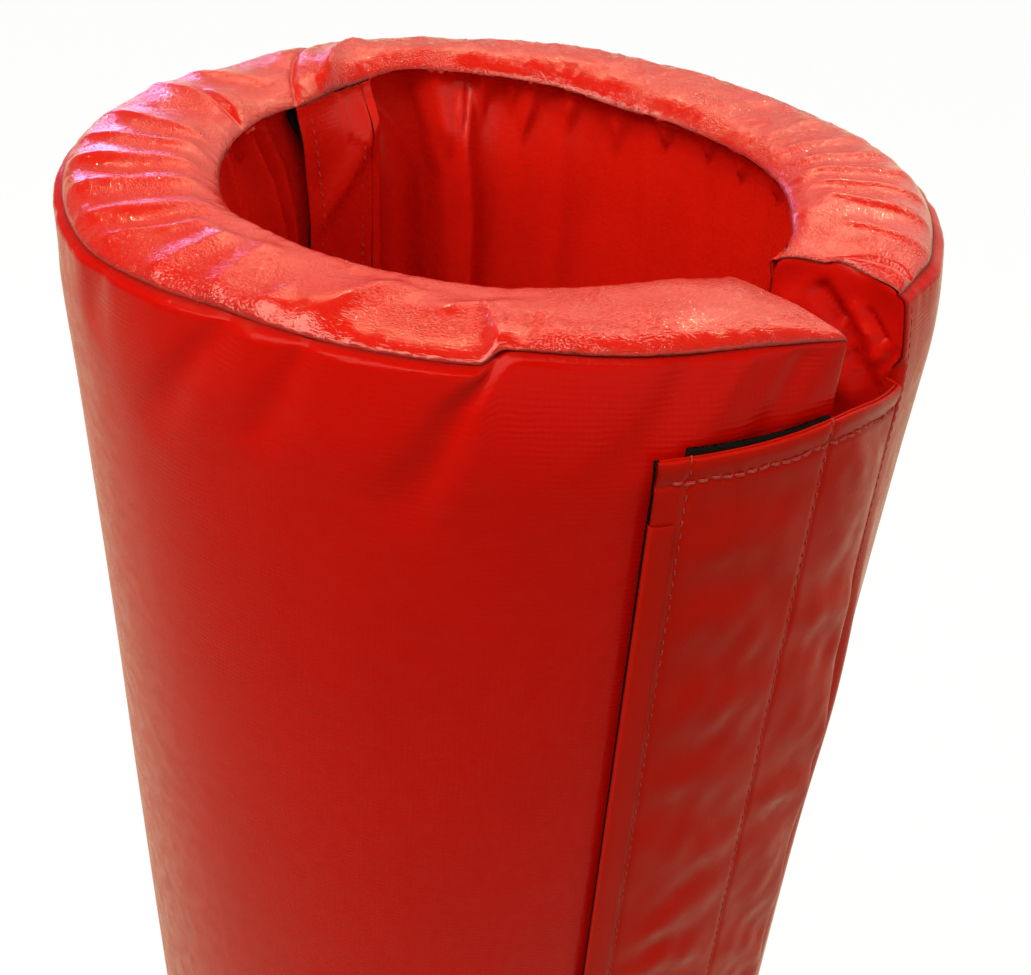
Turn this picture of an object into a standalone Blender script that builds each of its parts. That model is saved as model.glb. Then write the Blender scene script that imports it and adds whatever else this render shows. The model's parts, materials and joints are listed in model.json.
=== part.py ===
"""Pole pad: a slit foam tube in a sewn cover of coated vinyl, closed round a pole by a hook-and-loop flap.

The pad stands on its bottom cap, with its axis on Z and its slit along the front, at -Y. Angles are in
degrees round the axis, from +X towards +Y. The foam tube opens like a letter C to go round a pole: it bends
at one line, where the foam and every panel of the cover are split into a left and a right part.
"""

import math

import bmesh
import bpy
from mathutils import Matrix, Vector

# The tube, in metres and degrees.
PAD_HEIGHT = 1.2
OUTER_RADIUS = 0.1525
FOAM_WALL = 0.0508
VINYL = 0.0006
FIT_GAP = 0.0003
SLIT_CENTRE = -90.0
SLIT_WIDTH = 15.0
BEND_ANGLE = 55.0
BEND_GAP = 0.0003

# The puffed ring at each end, and the sides drawn in towards its seams.
CROWN_HEIGHT = 0.010
CROWN_POWER = 2.6
FOOT_HEIGHT = 0.006
SEAM_DRAW_IN = 0.005
SHOULDER_HEIGHT = 0.040

# Radial wrinkles of the top cap, gathered on the side away from the flap.
WRINKLE_RISE = 0.003
WRINKLE_CENTRE = 138.0
WRINKLE_SPREAD = 34.0
WRINKLE_PITCH = 9.0

# Upright folds of the loose lining.
FOLD_ANGLES = (66.0, 47.5, 38.5)
FOLD_DEPTH = 0.005
FOLD_WIDTH = 2.6
FOLD_FADE = 0.08

# Hook-and-loop tapes.
TAPE_THICKNESS = 0.0012
FLAP_TAPE_WIDTH = 0.050
TAPE_SHOW = 0.003

# The closing flap, sewn into the right edge of the slit and lapped over the left side.
FLAP_WIDTH = 0.1045
FLAP_END_INSET = 0.022
FLAP_HEM = 0.010
FLAP_EDGE_MARGIN = 0.009
FLAP_LAP_CLEARANCE = 1.0
SIDE_HEM_WIDTH = 0.007
SIDE_HEM_START = 0.022

# The access closure in the lining, opposite the slit.
PLACKET_ROOT = 77.5
PLACKET_WIDTH = 0.0315
PLACKET_MARGIN = 0.005
PLACKET_TAPE_WIDTH = 0.025
PLACKET_THICKNESS = 0.0012
PLACKET_STEP = 5.5

# Sewing thread, drawn as one bead a row.
THREAD_RADIUS = 0.0004
HEM_ROW_INSET = 0.008
TOPSTITCH_INSET = 0.005
ROW_END_CLEARANCE = 0.004

# Fineness of the curved faces, in degrees.
ARC_STEP = 5.0
WRINKLE_STEP = 2.25
ROUNDED_ROWS = 4
CROWN_ROWS = 6

# Sizes that follow from the ones above.
SKIN = VINYL + FIT_GAP
INNER_RADIUS = OUTER_RADIUS - 2 * SKIN - FOAM_WALL
SLIT_RIGHT = SLIT_CENTRE + SLIT_WIDTH / 2
SLIT_LEFT = SLIT_CENTRE - SLIT_WIDTH / 2 + 360.0
FLAP_RISE_SPAN = SLIT_WIDTH - FLAP_LAP_CLEARANCE
CAP_BASE = PAD_HEIGHT - WRINKLE_RISE - CROWN_HEIGHT
SEAM_HIGH = CAP_BASE - SKIN
SEAM_LOW = FOOT_HEIGHT + SKIN
FLAP_LOW = SEAM_LOW + FLAP_END_INSET
FLAP_HIGH = SEAM_HIGH - FLAP_END_INSET
FLAP_STACK = 2 * VINYL + FIT_GAP
TAPE_STACK = 2 * TAPE_THICKNESS + 3 * FIT_GAP

RED_VINYL = (0.62, 0.012, 0.008, 1.0)
INNER_RED_VINYL = (0.52, 0.010, 0.007, 1.0)
FLAP_RED_VINYL = (0.42, 0.014, 0.010, 1.0)
BLACK_TAPE = (0.010, 0.010, 0.011, 1.0)
PINK_THREAD = (0.45, 0.07, 0.07, 1.0)
WHITE_FOAM = (0.75, 0.75, 0.72, 1.0)


def degrees_across(length, radius):
    """The angle that a length takes up along a circle of the given radius."""
    return math.degrees(length / radius)


def polar(radius, angle, height):
    """The point at a radius, an angle in degrees and a height."""
    turn = math.radians(angle)
    return Vector((radius * math.cos(turn), radius * math.sin(turn), height))


def spread(first, last, count):
    """Evenly spaced values from first to last, in count steps."""
    return [first + (last - first) * i / count for i in range(count + 1)]


def arc_stations(start, end, step=ARC_STEP):
    """Angles from start to end, no further apart than step."""
    return spread(start, end, max(1, math.ceil(abs(end - start) / step)))


def ease(value):
    """A smooth step from 0 to 1."""
    value = min(1.0, max(0.0, value))
    return value * value * (3.0 - 2.0 * value)


def make_material(name, colour, roughness):
    """A plain Principled material."""
    material = bpy.data.materials.new(name)
    material.use_nodes = True
    shader = material.node_tree.nodes["Principled BSDF"]
    shader.inputs["Base Color"].default_value = colour
    shader.inputs["Roughness"].default_value = roughness
    shader.inputs["Metallic"].default_value = 0.0
    material.diffuse_color = colour
    return material


def add_object(name, bm, collection, material):
    """Turns a bmesh into a smooth-shaded object of the collection."""
    mesh = bpy.data.meshes.new(name)
    bm.to_mesh(mesh)
    bm.free()
    mesh.shade_smooth()
    mesh.set_sharp_from_angle(angle=math.radians(35))
    obj = bpy.data.objects.new(name, mesh)
    obj.data.materials.append(material)
    collection.objects.link(obj)
    return obj


def sheet(name, columns, rows, place, thickness, side, collection, material):
    """A grid laid on a curved surface and thickened to one side of it.

    place(column, row) gives the point of the surface. The thickness goes along the surface's normal where
    side is 1, and against it where side is -1.
    """
    bm = bmesh.new()
    across, up = len(columns) - 1, len(rows) - 1
    bmesh.ops.create_grid(bm, x_segments=across, y_segments=up, size=1.0)
    for vertex in bm.verts:
        column = columns[round((vertex.co.x + 1.0) / 2.0 * across)]
        row = rows[round((vertex.co.y + 1.0) / 2.0 * up)]
        vertex.co = place(column, row)
    obj = add_object(name, bm, collection, material)
    solidify = obj.modifiers.new("thickness", "SOLIDIFY")
    solidify.thickness = thickness
    solidify.offset = side
    solidify.use_even_offset = True
    return obj


def turned_block(name, section, start, end, collection, material, step=ARC_STEP):
    """A closed section of (radius, height) points turned from one angle to another."""
    bm = bmesh.new()
    corners = [bm.verts.new(polar(radius, start, height)) for radius, height in section]
    face = bm.faces.new(corners)
    bmesh.ops.spin(
        bm,
        geom=[face, *face.verts, *face.edges],
        cent=(0.0, 0.0, 0.0),
        axis=(0.0, 0.0, 1.0),
        dvec=(0.0, 0.0, 0.0),
        angle=math.radians(end - start),
        space=Matrix.Identity(4),
        steps=max(1, math.ceil(abs(end - start) / step)),
        use_merge=False,
        use_duplicate=False,
    )
    bmesh.ops.recalc_face_normals(bm, faces=bm.faces)
    return add_object(name, bm, collection, material)


def thread(name, points, collection, material):
    """A row of stitching as one thin bead through the points."""
    curve = bpy.data.curves.new(name, "CURVE")
    curve.dimensions = "3D"
    curve.bevel_depth = THREAD_RADIUS
    curve.bevel_resolution = 1
    curve.use_fill_caps = True
    spline = curve.splines.new("POLY")
    spline.points.add(len(points) - 1)
    for spot, point in zip(spline.points, points):
        spot.co = (*point, 1.0)
    curve.materials.append(material)
    obj = bpy.data.objects.new(name, curve)
    collection.objects.link(obj)
    return obj


def side_heights():
    """Heights of the outer panel's rows, close together on its two shoulders."""
    foot = spread(SEAM_LOW, SEAM_LOW + SHOULDER_HEIGHT, ROUNDED_ROWS)
    shoulder = spread(SEAM_HIGH - SHOULDER_HEIGHT, SEAM_HIGH, ROUNDED_ROWS)
    return foot + shoulder


def side_radius(height):
    """Radius of the outer panel, which is drawn in towards the seams at both ends."""
    from_seam = min(height - SEAM_LOW, SEAM_HIGH - height)
    slack = 1.0 - min(1.0, from_seam / SHOULDER_HEIGHT)
    return OUTER_RADIUS - SEAM_DRAW_IN * slack**2


def ring_radius(part):
    """Radius across an end ring, from its outer seam at 0 to its inner seam at 1."""
    outer = OUTER_RADIUS - SEAM_DRAW_IN
    return outer + (INNER_RADIUS - outer) * part


def crown(part):
    """Height of the top ring's arch over its seams, from 0 to 1, without its wrinkles."""
    return 1.0 - abs(2.0 * part - 1.0) ** CROWN_POWER


def wrinkle(angle, part):
    """Rise of the top ring's radial wrinkles over its arch."""
    away = (angle - WRINKLE_CENTRE) / WRINKLE_SPREAD
    wave = 0.5 + 0.5 * math.cos(math.tau * (angle - WRINKLE_CENTRE) / WRINKLE_PITCH)
    return WRINKLE_RISE * math.exp(-(away**2)) * wave * math.sin(math.pi * part)


def foot_height(part):
    """Height of the bottom ring, flat on the floor between its rounded edges."""
    return FOOT_HEIGHT * ease(abs(2.0 * part - 1.0) * 3.0 - 2.0)


def top_point(angle, part):
    """A point of the top ring's upper face."""
    height = CAP_BASE + CROWN_HEIGHT * crown(part) + wrinkle(angle, part)
    return polar(ring_radius(part), angle, height)


def foot_point(angle, part):
    """A point of the bottom ring's lower face, counted from the inner seam."""
    return polar(ring_radius(1.0 - part), angle, foot_height(part))


FOOT_PARTS = (0.0, 0.06, 0.12, 0.1667, 0.8333, 0.88, 0.94, 1.0)


def pad_outline():
    """The closed outline of the covered wall, as (radius, height), counter-clockwise."""
    side = [(side_radius(height), height) for height in side_heights()]
    top = [
        (ring_radius(part), CAP_BASE + CROWN_HEIGHT * crown(part))
        for part in spread(0.0, 1.0, CROWN_ROWS)
    ]
    bore = [(INNER_RADIUS, SEAM_HIGH), (INNER_RADIUS, SEAM_LOW)]
    foot = [(ring_radius(1.0 - part), foot_height(part)) for part in FOOT_PARTS]
    return side + top + bore + foot


def inset(outline, distance):
    """A closed outline moved inwards by a distance, with its corners kept sharp."""
    moved = []
    for i, point in enumerate(outline):
        here = Vector(point)
        before = (here - Vector(outline[i - 1])).normalized()
        after = (Vector(outline[(i + 1) % len(outline)]) - here).normalized()
        left = Vector((-before.y, before.x)) + Vector((-after.y, after.x))
        left.normalize()
        lean = left.dot(Vector((-before.y, before.x)))
        moved.append(tuple(here + left * (distance / lean)))
    return moved


def build_foam(collection, foam):
    """The foam tube, split at its bend line."""
    section = inset(pad_outline(), SKIN)
    half_gap = degrees_across(BEND_GAP / 2, INNER_RADIUS)
    clear_of_end = degrees_across(SKIN + VINYL, INNER_RADIUS)
    turned_block(
        "foam_core_left", section, BEND_ANGLE + half_gap, SLIT_LEFT - clear_of_end, collection, foam
    )
    turned_block(
        "foam_core_right", section, SLIT_RIGHT + clear_of_end, BEND_ANGLE - half_gap, collection, foam
    )


def build_slit_ends(collection, vinyl):
    """The panels that close the cover on the two faces of the slit."""
    section = inset(pad_outline(), SKIN)
    across = degrees_across(VINYL, INNER_RADIUS)
    turned_block("slit_end_left", section, SLIT_LEFT - across, SLIT_LEFT, collection, vinyl)
    turned_block("slit_end_right", section, SLIT_RIGHT, SLIT_RIGHT + across, collection, vinyl)


def build_cover(collection, vinyl):
    """The outer panel and the two end rings, each split at the bend line."""
    outer_half = degrees_across(BEND_GAP / 2, INNER_RADIUS)
    spans = {
        "left": (BEND_ANGLE + outer_half, SLIT_LEFT, WRINKLE_STEP),
        "right": (SLIT_RIGHT, BEND_ANGLE - outer_half, ARC_STEP),
    }
    for part_name, (start, end, cap_step) in spans.items():
        sheet(
            "outer_panel_" + part_name,
            arc_stations(start, end),
            side_heights(),
            lambda angle, height: polar(side_radius(height), angle, height),
            VINYL,
            -1,
            collection,
            vinyl,
        )
        sheet(
            "top_cap_" + part_name,
            arc_stations(start, end, cap_step),
            spread(0.0, 1.0, CROWN_ROWS),
            top_point,
            VINYL,
            -1,
            collection,
            vinyl,
        )
        sheet(
            "bottom_cap_" + part_name,
            arc_stations(start, end),
            FOOT_PARTS,
            foot_point,
            VINYL,
            -1,
            collection,
            vinyl,
        )


def placket_level():
    """Radius of the placket's face towards the bore, over the two tapes of its closure."""
    return INNER_RADIUS - TAPE_STACK - PLACKET_THICKNESS


def lining_radius(angle, height):
    """Radius of the lining's face towards the bore, with its upright folds."""
    from_seam = min(height - SEAM_LOW, SEAM_HIGH - height)
    fade = ease(from_seam / FOLD_FADE)
    fold = sum(math.exp(-(((angle - at) / FOLD_WIDTH) ** 2)) for at in FOLD_ANGLES)
    return INNER_RADIUS - FOLD_DEPTH * fade * fold


def build_lining(collection, vinyl):
    """The lining: one panel that ends under the placket, and one that ends in it, split at the bend line."""
    heights = [
        SEAM_LOW,
        SEAM_LOW + FOLD_FADE / 2,
        SEAM_LOW + FOLD_FADE,
        SEAM_HIGH - FOLD_FADE,
        SEAM_HIGH - FOLD_FADE / 2,
        SEAM_HIGH,
    ]
    half_gap = degrees_across(BEND_GAP / 2, INNER_RADIUS)
    root_gap = degrees_across(FIT_GAP, INNER_RADIUS)
    tape_start = PLACKET_ROOT + degrees_across(PLACKET_MARGIN, INNER_RADIUS)
    sheet(
        "lining_left",
        arc_stations(tape_start, SLIT_LEFT),
        [SEAM_LOW, SEAM_HIGH],
        lambda angle, height: polar(INNER_RADIUS, angle, height),
        VINYL,
        1,
        collection,
        vinyl,
    )

    def back_point(angle, height):
        rise = ease((angle - PLACKET_ROOT) / PLACKET_STEP + 1.0)
        lift = (INNER_RADIUS - placket_level()) * rise
        return polar(lining_radius(angle, height) - lift, angle, height)

    sheet(
        "lining_back",
        arc_stations(BEND_ANGLE + half_gap, PLACKET_ROOT - root_gap, FOLD_WIDTH / 2),
        heights,
        back_point,
        VINYL,
        1,
        collection,
        vinyl,
    )
    folded = arc_stations(min(FOLD_ANGLES) - 3 * FOLD_WIDTH, BEND_ANGLE - half_gap, FOLD_WIDTH / 2)
    plain = arc_stations(SLIT_RIGHT, folded[0])
    sheet(
        "lining_right",
        plain[:-1] + folded,
        heights,
        lambda angle, height: polar(lining_radius(angle, height), angle, height),
        VINYL,
        1,
        collection,
        vinyl,
    )


def build_access_closure(collection, vinyl, tape, row_thread):
    """The placket with its hook tape, and the loop tape under it on the left lining."""
    level = placket_level()
    low, high = SEAM_LOW, SEAM_HIGH
    free_edge = PLACKET_ROOT + degrees_across(PLACKET_WIDTH, level)
    tape_low = PLACKET_ROOT + degrees_across(PLACKET_MARGIN, INNER_RADIUS)
    tape_high = tape_low + degrees_across(PLACKET_TAPE_WIDTH, INNER_RADIUS)
    show = degrees_across(TAPE_SHOW, INNER_RADIUS)
    loop_face = INNER_RADIUS - FIT_GAP
    hook_face = loop_face - TAPE_THICKNESS - FIT_GAP
    strip = [(loop_face - TAPE_THICKNESS, low), (loop_face, low), (loop_face, high)]
    strip.append((loop_face - TAPE_THICKNESS, high))
    turned_block("access_loop_tape", strip, tape_low, free_edge + show, collection, tape)
    strip = [(hook_face - TAPE_THICKNESS, low), (hook_face, low), (hook_face, high)]
    strip.append((hook_face - TAPE_THICKNESS, high))
    turned_block("access_hook_tape", strip, tape_low, tape_high, collection, tape)
    strip = [(level, low), (level + PLACKET_THICKNESS, low), (level + PLACKET_THICKNESS, high)]
    strip.append((level, high))
    turned_block("access_placket", strip, PLACKET_ROOT, free_edge, collection, vinyl)
    row_radius = level - FIT_GAP - THREAD_RADIUS
    rows = {
        "access_edge_stitch": free_edge - degrees_across(PLACKET_MARGIN, level),
        "access_root_stitch": tape_low + degrees_across(2 * THREAD_RADIUS, level),
    }
    for name, angle in rows.items():
        ends = [polar(row_radius, angle, low + ROW_END_CLEARANCE)]
        ends.append(polar(row_radius, angle, high - ROW_END_CLEARANCE))
        thread(name, ends, collection, row_thread)


def flap_edge():
    """Angle of the flap's free edge."""
    return SLIT_RIGHT - degrees_across(FLAP_WIDTH, OUTER_RADIUS)


def flap_tape_edges():
    """Angles of the hook tape's two long edges: the one by the flap's free edge, and the one at its fold."""
    outer = flap_edge() + degrees_across(FLAP_EDGE_MARGIN, OUTER_RADIUS)
    return outer, outer + degrees_across(FLAP_TAPE_WIDTH, OUTER_RADIUS)


def flap_fold():
    """Angle of the line where the flap's taped end peels away from its root."""
    return flap_tape_edges()[1] + degrees_across(FLAP_EDGE_MARGIN / 4, OUTER_RADIUS)


def flap_level(angle):
    """Radius of the flap's inner side: flush at its sewn root, and over the two tapes where it is lapped."""
    rise = ease((SLIT_RIGHT - angle) / FLAP_RISE_SPAN)
    return OUTER_RADIUS - FLAP_STACK + (FLAP_STACK + TAPE_STACK) * rise


def build_flap(collection, vinyl, tape, row_thread):
    """The flap, in a root part and a tip part that meet at the fold beside the tape."""
    half_gap = degrees_across(FIT_GAP / 2, OUTER_RADIUS)
    edge, fold = flap_edge(), flap_fold()
    root = arc_stations(fold + half_gap, SLIT_RIGHT - 2 * half_gap, ARC_STEP / 2)
    tip = arc_stations(edge, fold - half_gap)
    folded_face = [
        (0.0, FLAP_LOW + FLAP_HEM),
        (0.0, FLAP_LOW),
        (FLAP_STACK, FLAP_LOW),
        (FLAP_STACK, FLAP_HIGH),
        (0.0, FLAP_HIGH),
        (0.0, FLAP_HIGH - FLAP_HEM),
    ]
    backing_rows = [FLAP_LOW + FLAP_HEM + FIT_GAP, FLAP_HIGH - FLAP_HEM - FIT_GAP]
    for name, angles in {"root": root, "tip": tip}.items():
        sheet(
            "flap_face_" + name,
            angles,
            folded_face,
            lambda angle, row: polar(flap_level(angle) + row[0], angle, row[1]),
            VINYL,
            -1,
            collection,
            vinyl,
        )
        sheet(
            "flap_backing_" + name,
            angles,
            backing_rows,
            lambda angle, height: polar(flap_level(angle), angle, height),
            VINYL,
            1,
            collection,
            vinyl,
        )
    build_side_hem(collection, vinyl)
    build_flap_tapes(collection, tape)
    build_flap_rows(collection, row_thread)


def build_side_hem(collection, vinyl):
    """The narrow strip folded round the flap's free edge, from a little below its top."""
    edge = flap_edge()
    back = flap_level(edge) - SKIN
    front = flap_level(edge) + FLAP_STACK + SKIN
    lap = edge + degrees_across(SIDE_HEM_WIDTH, OUTER_RADIUS)
    round_edge = edge - degrees_across(SKIN, OUTER_RADIUS)
    path = [(lap, front), (round_edge, front), (round_edge, back), (lap, back)]
    sheet(
        "flap_side_hem",
        [FLAP_LOW + FIT_GAP, FLAP_HIGH - SIDE_HEM_START],
        path,
        lambda height, spot: polar(spot[1], spot[0], height),
        VINYL,
        -1,
        collection,
        vinyl,
    )


def build_flap_tapes(collection, tape):
    """The hook tape on the flap's back and the loop tape under it on the outer panel."""
    tape_outer, tape_inner = flap_tape_edges()
    loop_level = OUTER_RADIUS + FIT_GAP
    hook_level = loop_level + TAPE_THICKNESS + FIT_GAP
    show = degrees_across(TAPE_SHOW / 2, OUTER_RADIUS)
    hook_high = FLAP_HIGH + TAPE_SHOW
    hook = [(hook_level, FLAP_LOW), (hook_level + TAPE_THICKNESS, FLAP_LOW)]
    hook += [(hook_level + TAPE_THICKNESS, hook_high), (hook_level, hook_high)]
    turned_block("flap_hook_tape", hook, tape_outer, tape_inner, collection, tape)
    loop = [(loop_level, FLAP_LOW), (loop_level + TAPE_THICKNESS, FLAP_LOW)]
    loop += [(loop_level + TAPE_THICKNESS, FLAP_HIGH), (loop_level, FLAP_HIGH)]
    turned_block("body_loop_tape", loop, flap_edge() - show, tape_inner, collection, tape)


def build_flap_rows(collection, row_thread):
    """The rows of thread on the flap and beside the slit."""
    tape_outer, tape_inner = flap_tape_edges()
    fold = flap_fold()
    clear = degrees_across(ROW_END_CLEARANCE, OUTER_RADIUS)
    above = FLAP_STACK + FIT_GAP + THREAD_RADIUS
    heights = {"top": FLAP_HIGH - HEM_ROW_INSET, "bottom": FLAP_LOW + HEM_ROW_INSET}
    spans = {
        "root": (fold + clear, SLIT_RIGHT - clear),
        "tip": (tape_outer + clear, fold - clear),
    }
    for part_name, (start, end) in spans.items():
        for row_name, height in heights.items():
            points = [
                polar(flap_level(angle) + above, angle, height) for angle in arc_stations(start, end)
            ]
            thread(f"flap_{row_name}_stitch_{part_name}", points, collection, row_thread)
    upright = {
        "flap_edge_stitch": tape_outer + degrees_across(2 * THREAD_RADIUS, OUTER_RADIUS),
        "flap_tape_stitch": tape_inner - degrees_across(2 * THREAD_RADIUS, OUTER_RADIUS),
    }
    for name, angle in upright.items():
        radius = flap_level(angle) + above
        ends = [polar(radius, angle, height) for height in (FLAP_LOW, FLAP_HIGH)]
        thread(name, ends, collection, row_thread)
    beside_slit = SLIT_RIGHT + degrees_across(TOPSTITCH_INSET, OUTER_RADIUS)
    heights = side_heights()
    heights[0] += ROW_END_CLEARANCE
    heights[-1] -= ROW_END_CLEARANCE
    points = [
        polar(side_radius(height) + FIT_GAP + THREAD_RADIUS, beside_slit, height) for height in heights
    ]
    thread("slit_edge_stitch", points, collection, row_thread)


def hinge_axes():
    """Name of each upright hinge line, with its radius, its angle and the line that carries it."""
    flap_outside = flap_level(flap_fold()) + FLAP_STACK
    return {
        "pad_bend_axis": (OUTER_RADIUS + FIT_GAP, BEND_ANGLE, None),
        "flap_seam_axis": (
            OUTER_RADIUS,
            SLIT_RIGHT - degrees_across(FIT_GAP / 2, OUTER_RADIUS),
            "pad_bend_axis",
        ),
        "flap_fold_axis": (flap_outside, flap_fold(), "flap_seam_axis"),
        "placket_axis": (
            placket_level(),
            PLACKET_ROOT - degrees_across(FIT_GAP / 2, INNER_RADIUS),
            None,
        ),
    }


MOVING_PIECES = {
    "pad_bend_axis": (
        "foam_core_right",
        "outer_panel_right",
        "top_cap_right",
        "bottom_cap_right",
        "lining_right",
        "slit_end_right",
        "slit_edge_stitch",
    ),
    "flap_seam_axis": (
        "flap_face_root",
        "flap_backing_root",
        "flap_top_stitch_root",
        "flap_bottom_stitch_root",
    ),
    "flap_fold_axis": (
        "flap_face_tip",
        "flap_backing_tip",
        "flap_side_hem",
        "flap_hook_tape",
        "flap_edge_stitch",
        "flap_tape_stitch",
        "flap_top_stitch_tip",
        "flap_bottom_stitch_tip",
    ),
    "placket_axis": (
        "access_placket",
        "access_hook_tape",
        "access_edge_stitch",
        "access_root_stitch",
    ),
}


def hang(obj, axis):
    """Hangs an object on a hinge line without moving it."""
    obj.parent = axis
    obj.matrix_parent_inverse = axis.matrix_world.inverted()


def hang_moving_pieces(collection):
    """Puts an empty on each hinge line and hangs the pieces that turn about it there."""
    axes = {}
    for name, (radius, angle, carrier) in hinge_axes().items():
        axis = bpy.data.objects.new(name, None)
        axis.empty_display_type = "SINGLE_ARROW"
        axis.location = polar(radius, angle, 0.0)
        collection.objects.link(axis)
        bpy.context.view_layer.update()
        if carrier:
            hang(axis, axes[carrier])
        axes[name] = axis
    bpy.context.view_layer.update()
    for name, pieces in MOVING_PIECES.items():
        for piece in pieces:
            hang(bpy.data.objects[piece], axes[name])


def main():
    """Clears the scene and builds the pad."""
    for obj in list(bpy.data.objects):
        bpy.data.objects.remove(obj, do_unlink=True)
    collection = bpy.data.collections.new("pole_pad")
    bpy.context.scene.collection.children.link(collection)
    foam = make_material("white_foam", WHITE_FOAM, 0.9)
    vinyl = make_material("red_vinyl", RED_VINYL, 0.25)
    inner_vinyl = make_material("inner_red_vinyl", INNER_RED_VINYL, 0.35)
    flap_vinyl = make_material("flap_red_vinyl", FLAP_RED_VINYL, 0.35)
    tape = make_material("black_tape", BLACK_TAPE, 0.85)
    row_thread = make_material("pink_thread", PINK_THREAD, 0.6)
    build_foam(collection, foam)
    build_slit_ends(collection, inner_vinyl)
    build_cover(collection, vinyl)
    build_lining(collection, inner_vinyl)
    build_access_closure(collection, inner_vinyl, tape, row_thread)
    build_flap(collection, flap_vinyl, tape, row_thread)
    hang_moving_pieces(collection)


main()
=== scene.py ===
"""Looks of the pole pad: a slit foam tube in a glossy red coated-fabric cover, with its lining and closures.

The pad stands on the floor with its axis on Z and its slit at the front, at -Y. Angles are in degrees round
the axis, from +X towards +Y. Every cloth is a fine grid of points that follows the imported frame, with the
puffs, gathers and folds that the sewn cover has, and is given its real thickness.
"""

from __future__ import annotations

import json
import logging
import math
from dataclasses import dataclass, field
from enum import Enum
from functools import partial
from typing import Any, Callable, Sequence

import bpy
import numpy as np
from mathutils import Matrix, Vector

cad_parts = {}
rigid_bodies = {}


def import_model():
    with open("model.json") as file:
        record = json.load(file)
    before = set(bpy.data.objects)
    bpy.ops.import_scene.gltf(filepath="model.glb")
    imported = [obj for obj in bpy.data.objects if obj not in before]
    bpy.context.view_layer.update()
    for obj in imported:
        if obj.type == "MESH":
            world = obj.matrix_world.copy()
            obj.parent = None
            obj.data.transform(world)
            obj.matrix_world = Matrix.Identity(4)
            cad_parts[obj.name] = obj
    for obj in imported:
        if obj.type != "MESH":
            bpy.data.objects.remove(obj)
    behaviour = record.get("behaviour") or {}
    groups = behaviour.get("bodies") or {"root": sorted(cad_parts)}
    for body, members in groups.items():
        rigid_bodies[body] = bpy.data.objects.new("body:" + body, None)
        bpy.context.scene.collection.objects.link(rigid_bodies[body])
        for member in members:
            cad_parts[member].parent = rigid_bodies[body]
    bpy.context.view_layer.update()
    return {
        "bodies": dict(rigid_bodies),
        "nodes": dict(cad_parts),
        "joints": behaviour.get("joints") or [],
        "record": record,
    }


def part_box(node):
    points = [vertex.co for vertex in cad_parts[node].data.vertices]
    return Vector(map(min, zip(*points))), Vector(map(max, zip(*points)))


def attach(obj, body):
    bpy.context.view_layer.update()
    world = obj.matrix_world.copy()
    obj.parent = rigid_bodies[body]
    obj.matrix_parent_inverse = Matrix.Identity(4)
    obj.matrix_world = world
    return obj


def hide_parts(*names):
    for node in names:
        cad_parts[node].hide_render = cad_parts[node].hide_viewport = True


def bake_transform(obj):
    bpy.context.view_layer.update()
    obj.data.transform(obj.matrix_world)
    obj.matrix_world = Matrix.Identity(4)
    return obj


LOG = logging.getLogger("pole_pad")
MM = 0.001

Array = np.ndarray
Piece = bpy.types.Object

# Angles of the slit's two edges, and the span of the cover that bends when the pad is spread open.
SLIT_RIGHT = -82.5
SLIT_LEFT = 262.5
BEND_START = 35.0
BEND_END = 75.0

# The cover's stretches, which ride on the pad's right half, bend, and ride on its left half.
STRETCHES = {"right": (SLIT_RIGHT, BEND_START), "bend": (BEND_START, BEND_END), "left": (BEND_END, SLIT_LEFT)}

# Radii in mm at which lengths round the end rings and the wall are counted, and the slit faces' depth.
RING_MIDDLE = 125.0
WALL_MIDDLE = 152.0
SLIT_DEEP = 49.0

# Thicknesses of the coated fabric, the tapes and the gap between layers.
CLOTH = 0.6 * MM
TAPE = 1.2 * MM
LAYER_GAP = 0.3 * MM


class Body(str, Enum):
    """The bodies of the frame that pieces ride on."""

    LEFT = "pad_left"
    RIGHT = "pad_right"
    FLAP_ROOT = "flap_root"
    FLAP_TIP = "flap_tip"
    PLACKET = "placket"


class Slot(str, Enum):
    """The record's material slots."""

    FOAM = "foam"
    COVER = "cover_vinyl"
    LINING = "lining_vinyl"
    FLAP = "flap_vinyl"
    TAPE = "tape"
    THREAD = "thread"


def polar(radius: Array, angle: Array, height: Array) -> Array:
    """Points at a radius, an angle in degrees and a height.

    Args:
        radius: Distances from the axis.
        angle: Angles in degrees.
        height: Heights over the floor.

    Returns:
        An array of points, with x, y and z in its last axis.
    """
    turn = np.radians(angle)
    radius, turn, height = np.broadcast_arrays(radius, turn, height)
    return np.stack([radius * np.cos(turn), radius * np.sin(turn), height], axis=-1)


def around(angle: float) -> Array:
    """The level direction of growing angle at an angle in degrees."""
    turn = math.radians(angle)
    return np.array([-math.sin(turn), math.cos(turn), 0.0])


def ease(value: Array) -> Array:
    """A smooth step from 0 to 1."""
    value = np.clip(value, 0.0, 1.0)
    return value * value * (3.0 - 2.0 * value)


def bell(value: Array, width: Array | float) -> Array:
    """A bell curve, 1 high at 0 and a third high at the width."""
    return np.exp(-((value / width) ** 2))


def stations(*stops: float, steps: Sequence[float]) -> Array:
    """Values through the stops, spaced by at most the step given for each stretch.

    Args:
        stops: The values that the result must hold, in order.
        steps: One largest spacing for each stretch between stops.

    Returns:
        All the values in order, without repeats.
    """
    out = [stops[0]]
    for start, end, step in zip(stops, stops[1:], steps):
        count = max(1, math.ceil(abs(end - start) / step))
        out += [start + (end - start) * i / count for i in range(1, count + 1)]
    return np.array(out)


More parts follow.
